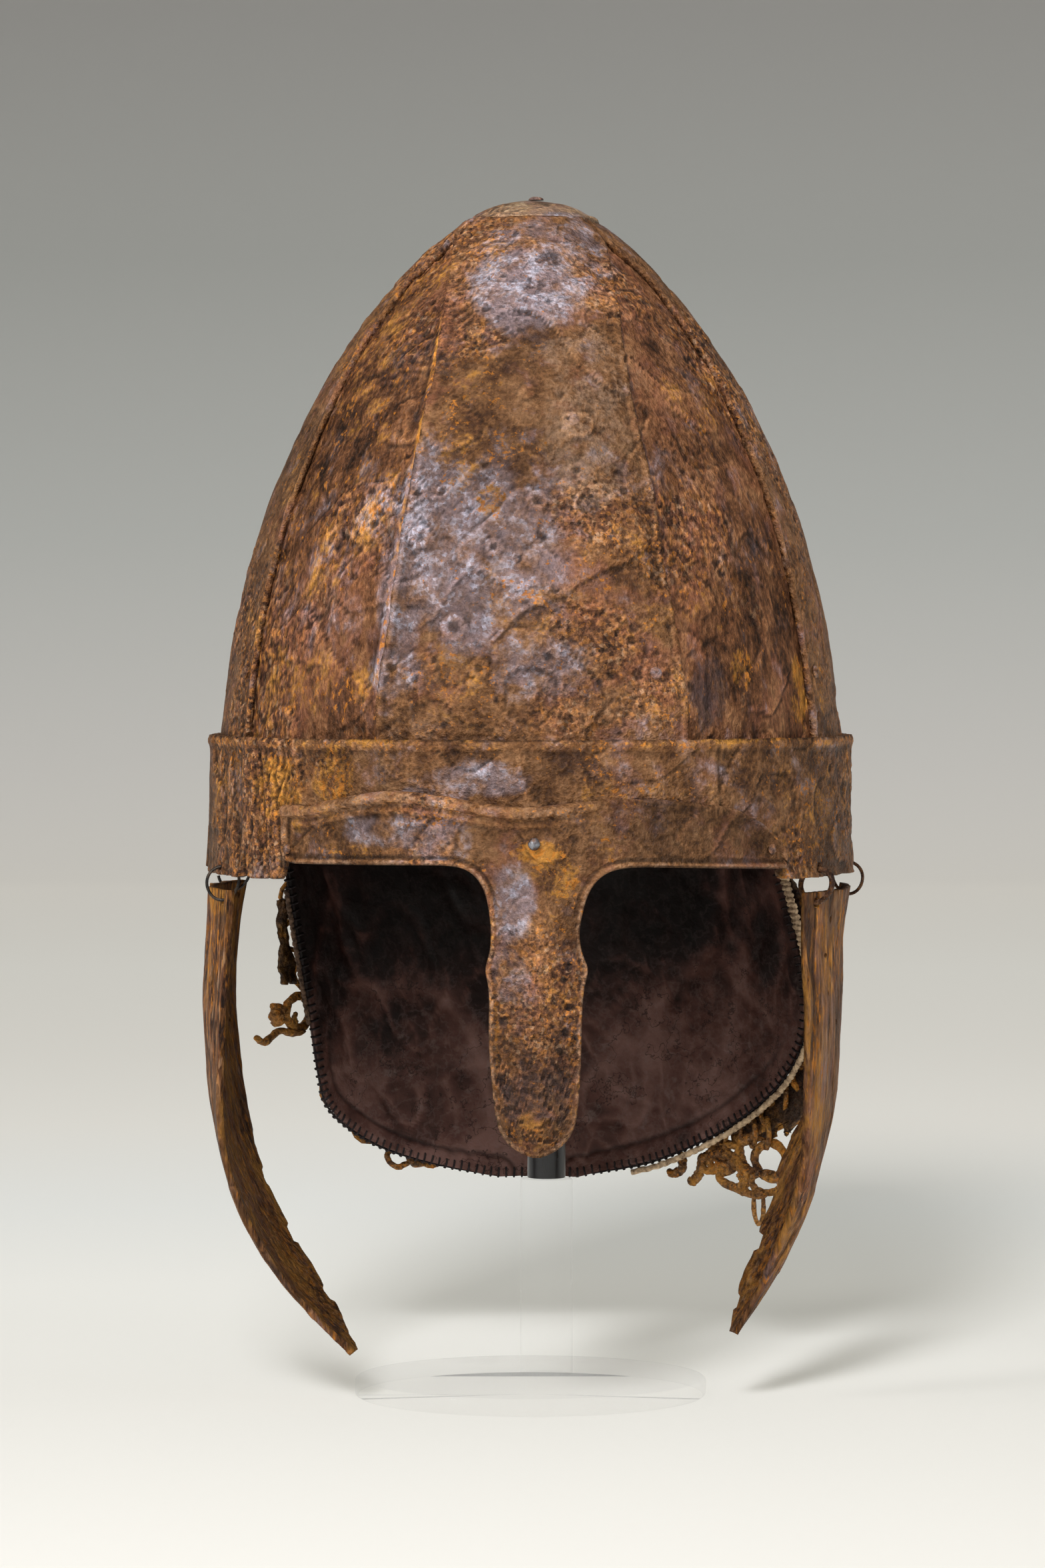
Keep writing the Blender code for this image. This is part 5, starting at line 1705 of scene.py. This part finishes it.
def makeMailSheet():
    links = bmesh.new()
    loose = {(row, column) for row, first, last in fringe for column in range(first, last + 1)}
    count = 0
    for row in mail["rows"]:
        height = (mail["topHeight"] - mail["rowPitch"] * row) / mm
        left, right = (min(mailEdge(height + rim, side) for rim in (-5, 0, 5)) for side in (1, 2))
        for column in mail["columns"]:
            centre, normal, reach = ringPlace(row, column)
            inside = mail["edgeMargin"] - left < reach < right - mail["edgeMargin"]
            if inside and (row, column) not in loose:
                addRing(links, centre, normal, row * 1.37 + column * 0.71)
                count += 1
    setWearAndPaintedShading(links, mailWear)
    join(links, makeCrustInPaintedShade(-1, 1, *crust["left"]))
    join(links, makeCrustInPaintedShade(1, 2, *crust["right"], crust["rightHoles"]))
    print("mail rings in the sheet:", count)
    pieceFrom("curtain_mail", links, "mail rust", "helmet", ["neck_curtain_mail"])


hanging = {"steps": 34, "stepsPerPoint": 8, "sides": 12}
# The loose rings as they hang, x and height in mm: a ring has a centre, half width, half height and wire,
# a broken one is a run of points and its wire
hangingRings = {
    1: (((-88.7, 129.4), (-89.2, 125.6), (-88.4, 121.8)), 2.4),
    2: ((-82.3, 125.9), 4.0, 5.7, 1.35),
    3: (((-79.7, 118.8), (-84.7, 118.6), (-88.9, 119.8), (-91.5, 117.6), (-94.1, 116.6), (-96.6, 118.6)), 1.2),
    4: (((-83.0, 126.0), (-83.4, 123.2), (-82.1, 119.6)), 0.85),
    5: ((-46.9, 71.9), 4.4, 3.5, 0.9),
    6: ((-39.6, 72.0), 4.2, 3.0, 1.2),
    7: ((-34.6, 71.0), 4.2, 2.6, 1.3),
    8: (((49.3, 67.2), (51.6, 65.7), (54.2, 67.4), (54.8, 70.0), (54.2, 74.0)), 1.4),
    9: (((56.8, 62.6), (59.4, 64.6), (61.2, 68.5), (61.5, 74.0)), 1.6),
    10: (((62.6, 71.6), (65.5, 75.2), (69.7, 76.6), (72.0, 78.5)), 1.5),
    11: (((72.4, 79.8), (77.3, 80.6), (82.5, 82.6), (85.5, 86.0)), 2.0),
    12: ((70.0, 75.6), 4.6, 2.6, 1.4),
    13: (((75.6, 83.0), (74.7, 75.5), (76.6, 70.2), (80.6, 68.2)), 1.45),
    14: ((85.1, 73.2), 5.4, 5.8, 1.4),
    15: ((64.4, 70.4), 3.2, 2.8, 1.35),
    16: ((68.6, 71.2), 4.4, 3.4, 1.4),
    17: ((72.4, 67.2), 4.9, 4.2, 1.3),
    18: (((75.0, 71.4), (76.0, 67.4), (76.6, 62.6)), 1.9),
    19: (((69.6, 64.6), (75.4, 61.4), (80.7, 60.8), (84.4, 62.4)), 1.35),
    20: ((83.6, 65.2), 4.8, 3.6, 1.15),
    21: ((81.2, 56.6), 1.7, 6.4, 0.75),
}


def hangingPlace(x, height, out=0.0):  # a place on the mail's surface from its x and height in mm
    radius = mailMiddle(height * mm)
    reach = math.degrees(math.asin(min(max(x * mm / radius, -1), 1)))
    for _ in range(3):
        point = curtainPoint(reach, height * mm, radius)
        reach += math.degrees((x * mm - point.x) / max(abs(point.y), 30 * mm))
    point = curtainPoint(reach, height * mm, radius)
    return Vector((x * mm, point.y + out * mm, point.z))


def hangingRoute(made, seed):  # the middle of a loose ring's wire
    if len(made) == 4:
        (x, height), halfWidth, halfHeight, _ = made
        route = []
        for step in range(hanging["steps"]):
            turn = math.tau * step / hanging["steps"]
            wander = 1 + 0.10 * waver(math.cos(turn) * 1.3, math.sin(turn) * 1.3, seed)
            across, up = halfWidth * wander * math.cos(turn), halfHeight * wander * math.sin(turn)
            route.append(hangingPlace(x + across, height + up, 1.6 * math.sin(turn + seed)))
        return route
    points = made[0]
    table = [(index, *point) for index, point in enumerate(points)]
    route = []
    for part in np.linspace(0, len(points) - 1, hanging["stepsPerPoint"] * len(points)):
        x, height = readRow(table, part, 1), readRow(table, part, 2)
        route.append(hangingPlace(x, height, 0.8 * math.sin(part * 2 + seed)))
    return route


def makeFringe():
    for number, made in hangingRings.items():
        seed = number * 1.37
        wire = made[-1] * mm
        closed = len(made) == 4

        def radiusAt(up, turn):
            ends, run = min(1, 0.2 + (5 * min(up, 1 - up)) ** 0.5), Vector((up * 4, 0, 0))
            if closed:
                ends, run = 1, Vector((math.cos(math.tau * up), math.sin(math.tau * up), 0))
            across = Vector((0, math.cos(turn), math.sin(turn))) * 0.5 + Vector((0, 0, seed))
            lumps = noise.noise(run * 1.7 + across) + 0.6 * noise.noise(run * 5 + across * 2)
            return wire * ends * (1.12 + 0.42 * lumps)

        link = tube(hangingRoute(made, seed), radiusAt, hanging["sides"], closed=closed)
        setWearAndPaintedShading(link, mailWear)
        name = f"mail_ring_{number:02d}"
        pieceFrom(name + "_link", link, "mail rust", "helmet", [name])


makeLeatherCurtain()
makeStitches()
for cordName, cordValues in cords.items():
    makeCord(cordName, *cordValues)
makeMailSheet()
makeFringe()
print("neck curtain made")

# Stand


def makeBar(name, node, bevel, finish, steps=64):
    low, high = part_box(node)
    centre = boxCentre(node)
    radius = (high.x - low.x) / 2
    profile = [(0, low.z), (radius - bevel, low.z)]
    for step in range(1, 5):
        turn = math.radians(22.5 * step)
        profile.append((radius - bevel + bevel * math.sin(turn), low.z + bevel - bevel * math.cos(turn)))
    for step in range(0, 5):
        turn = math.radians(22.5 * step)
        profile.append((radius - bevel + bevel * math.cos(turn), high.z - bevel + bevel * math.sin(turn)))
    profile.append((0, high.z))
    bar = turned(profile, steps)
    bmesh.ops.translate(bar, verts=bar.verts, vec=(centre.x, centre.y, 0))
    piece = pieceFrom(name, bar, finish, "helmet", [node])
    piece.data.set_sharp_from_angle(angle=math.radians(40))


makeBar("post", "stand_post", 0.4 * mm, "black post")
makeBar("stem", "stand_stem", 0.6 * mm, "clear acrylic")
makeBar("foot", "stand_foot", 1.2 * mm, "clear acrylic", 128)


pad = {"slope": 11.5 * mm, "steps": 72}


def makePad():
    low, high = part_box("stand_pad")
    radius = (high.x - low.x) / 2
    topRadius = radius - pad["slope"]
    profile = [
        (0, low.z),
        (radius - 1.5 * mm, low.z),
        (radius, low.z + 1.5 * mm),
        (radius - 4 * mm, low.z + 7 * mm),
        (topRadius + 2 * mm, high.z - 2 * mm),
        (topRadius - 3 * mm, high.z),
        (0, high.z),
    ]
    pieceFrom("felt_pad", turned(profile, pad["steps"]), "pad felt", "helmet", ["stand_pad"])


makePad()
print("stand made")

# Stage, lights and camera

stage = {
    "floorRadius": 4.2,
    "wallRadius": 5.0,
    "wallHeight": 6.0,
    "bendSteps": 8,
    "steps": 96,
    "paper": (0.50, 0.496, 0.485),
    "brightSpot": 1.0,
    "glowAlongFloor": 0.09,
    "glowUpWall": 0.4,
    # The paper's own glow, painted light, from the bright spot in front out to the wall's top: place and colour
    "glow": (
        (0.055, (0.251, 0.233, 0.188)),
        (0.09, (0.254, 0.245, 0.206)),
        (0.12, (0.337, 0.331, 0.292)),
        (0.15, (0.345, 0.35, 0.324)),
        (0.19, (0.396, 0.38, 0.336)),
        (0.24, (0.404, 0.388, 0.344)),
        (0.32, (0.428, 0.416, 0.374)),
        (0.45, (0.423, 0.403, 0.361)),
        (0.55, (0.304, 0.292, 0.269)),
        (0.68, (0.155, 0.162, 0.15)),
        (0.82, (0.039, 0.046, 0.041)),
        (0.94, (0, 0, 0)),
    ),
}


def makeStage():
    bend = stage["wallRadius"] - stage["floorRadius"]
    profile = [(0, 0), (1, 0), (2, 0), (3, 0), (stage["floorRadius"], 0)]
    for step in range(1, stage["bendSteps"] + 1):
        turn = math.radians(90 * step / stage["bendSteps"])
        profile.append((stage["floorRadius"] + bend * math.sin(turn), bend * (1 - math.cos(turn))))
    profile.append((stage["wallRadius"], stage["wallHeight"]))
    bowl = turned(profile, stage["steps"])
    bmesh.ops.reverse_faces(bowl, faces=bowl.faces)
    mesh = meshFrom("studio_floor", bowl)
    mesh.shade_smooth()
    floor = linked("studio_floor", mesh)

    tree, shader = startMaterial("studio paper", 0.9, 0, 0.0)
    shader.inputs["Base Color"].default_value = (*stage["paper"], 1)
    place = addNode(tree, "TexCoord")
    split = addNode(tree, "SeparateXYZ")
    tree.links.new(place.outputs["Object"], split.inputs["Vector"])
    ahead = combine(tree, "ADD", split.outputs[1], stage["brightSpot"])
    away = combine(tree, "SQRT", weigh(tree, (split.outputs[0], split.outputs[0]), (ahead, ahead)), 0)
    run = weigh(tree, (away, stage["glowAlongFloor"]), (split.outputs[2], stage["glowUpWall"]))
    tree.links.new(ramp(tree, run, stage["glow"]), shader.inputs["Emission Color"])
    shader.inputs["Emission Strength"].default_value = 1
    mesh.materials.append(materials["studio paper"])


# Each light's place, target, size and watts; no target stands for the helmet's middle
lights = {
    "overhead softbox": ((0.0, -0.5, 1.5), None, 0.25, 9),
    "key softbox": ((-0.25, -2.1, 1.3), None, 0.4, 31),
    "left softbox": ((-1.5, -1.3, 1.0), None, 0.6, 15),
    "right softbox": ((1.7, -1.0, 0.8), None, 1.0, 5),
    "floor softbox": ((-0.75, -3.5, 1.9), (0.1, 0.4, 0), 0.8, 21),
}
lightColours = {"left softbox": (1.0, 0.985, 0.96)}
world = {"colour": (0.95, 0.97, 1.0), "strength": 0.15}
cameraSettings = {
    "lens": 134.7,
    "sensor": 36,
    "clip": (0.05, 30),
    "place": (-0.0027, -2.0, 0.26),
    "target": (-0.0027, 0, 0.2086),
}


def aim(made, place, target):
    made.location = place
    made.rotation_euler = (Vector(target) - Vector(place)).to_track_quat("-Z", "Y").to_euler()


def addLight(name, place, target, size, power):
    data = bpy.data.lights.new(name, "AREA")
    data.shape = "DISK"
    data.size = size
    data.energy = power
    data.color = lightColours.get(name, (1, 1, 1))
    aim(linked(name, data), place, target)


def makeLights():
    middle = (0, 0, ((cadLow + cadHigh) / 2).z)
    for name, (place, target, size, power) in lights.items():
        addLight(name, place, target or middle, size, power)
    bpy.data.lights["floor softbox"].spread = math.radians(60)
    # The overhead light misses the paper, and the floor's light falls only on it
    for name, state in (("overhead softbox", "EXCLUDE"), ("floor softbox", "INCLUDE")):
        paper = bpy.data.collections.new(name + " paper")
        paper.objects.link(bpy.data.objects["studio_floor"])
        bpy.data.objects[name].light_linking.receiver_collection = paper
        paper.collection_objects[0].light_linking.link_state = state

    air = bpy.data.worlds.new("studio air")
    air.use_nodes = True
    background = air.node_tree.nodes["Background"]
    background.inputs["Color"].default_value = (*world["colour"], 1)
    background.inputs["Strength"].default_value = world["strength"]
    bpy.context.scene.world = air


def makeCamera():
    data = bpy.data.cameras.new("camera")
    data.lens = cameraSettings["lens"]
    data.sensor_width = cameraSettings["sensor"]
    data.clip_start, data.clip_end = cameraSettings["clip"]
    camera = linked("camera", data)
    aim(camera, cameraSettings["place"], cameraSettings["target"])
    bpy.context.scene.camera = camera
    bpy.context.scene.view_settings.view_transform = "Standard"


makeStage()
makeLights()
makeCamera()
print("stage made")
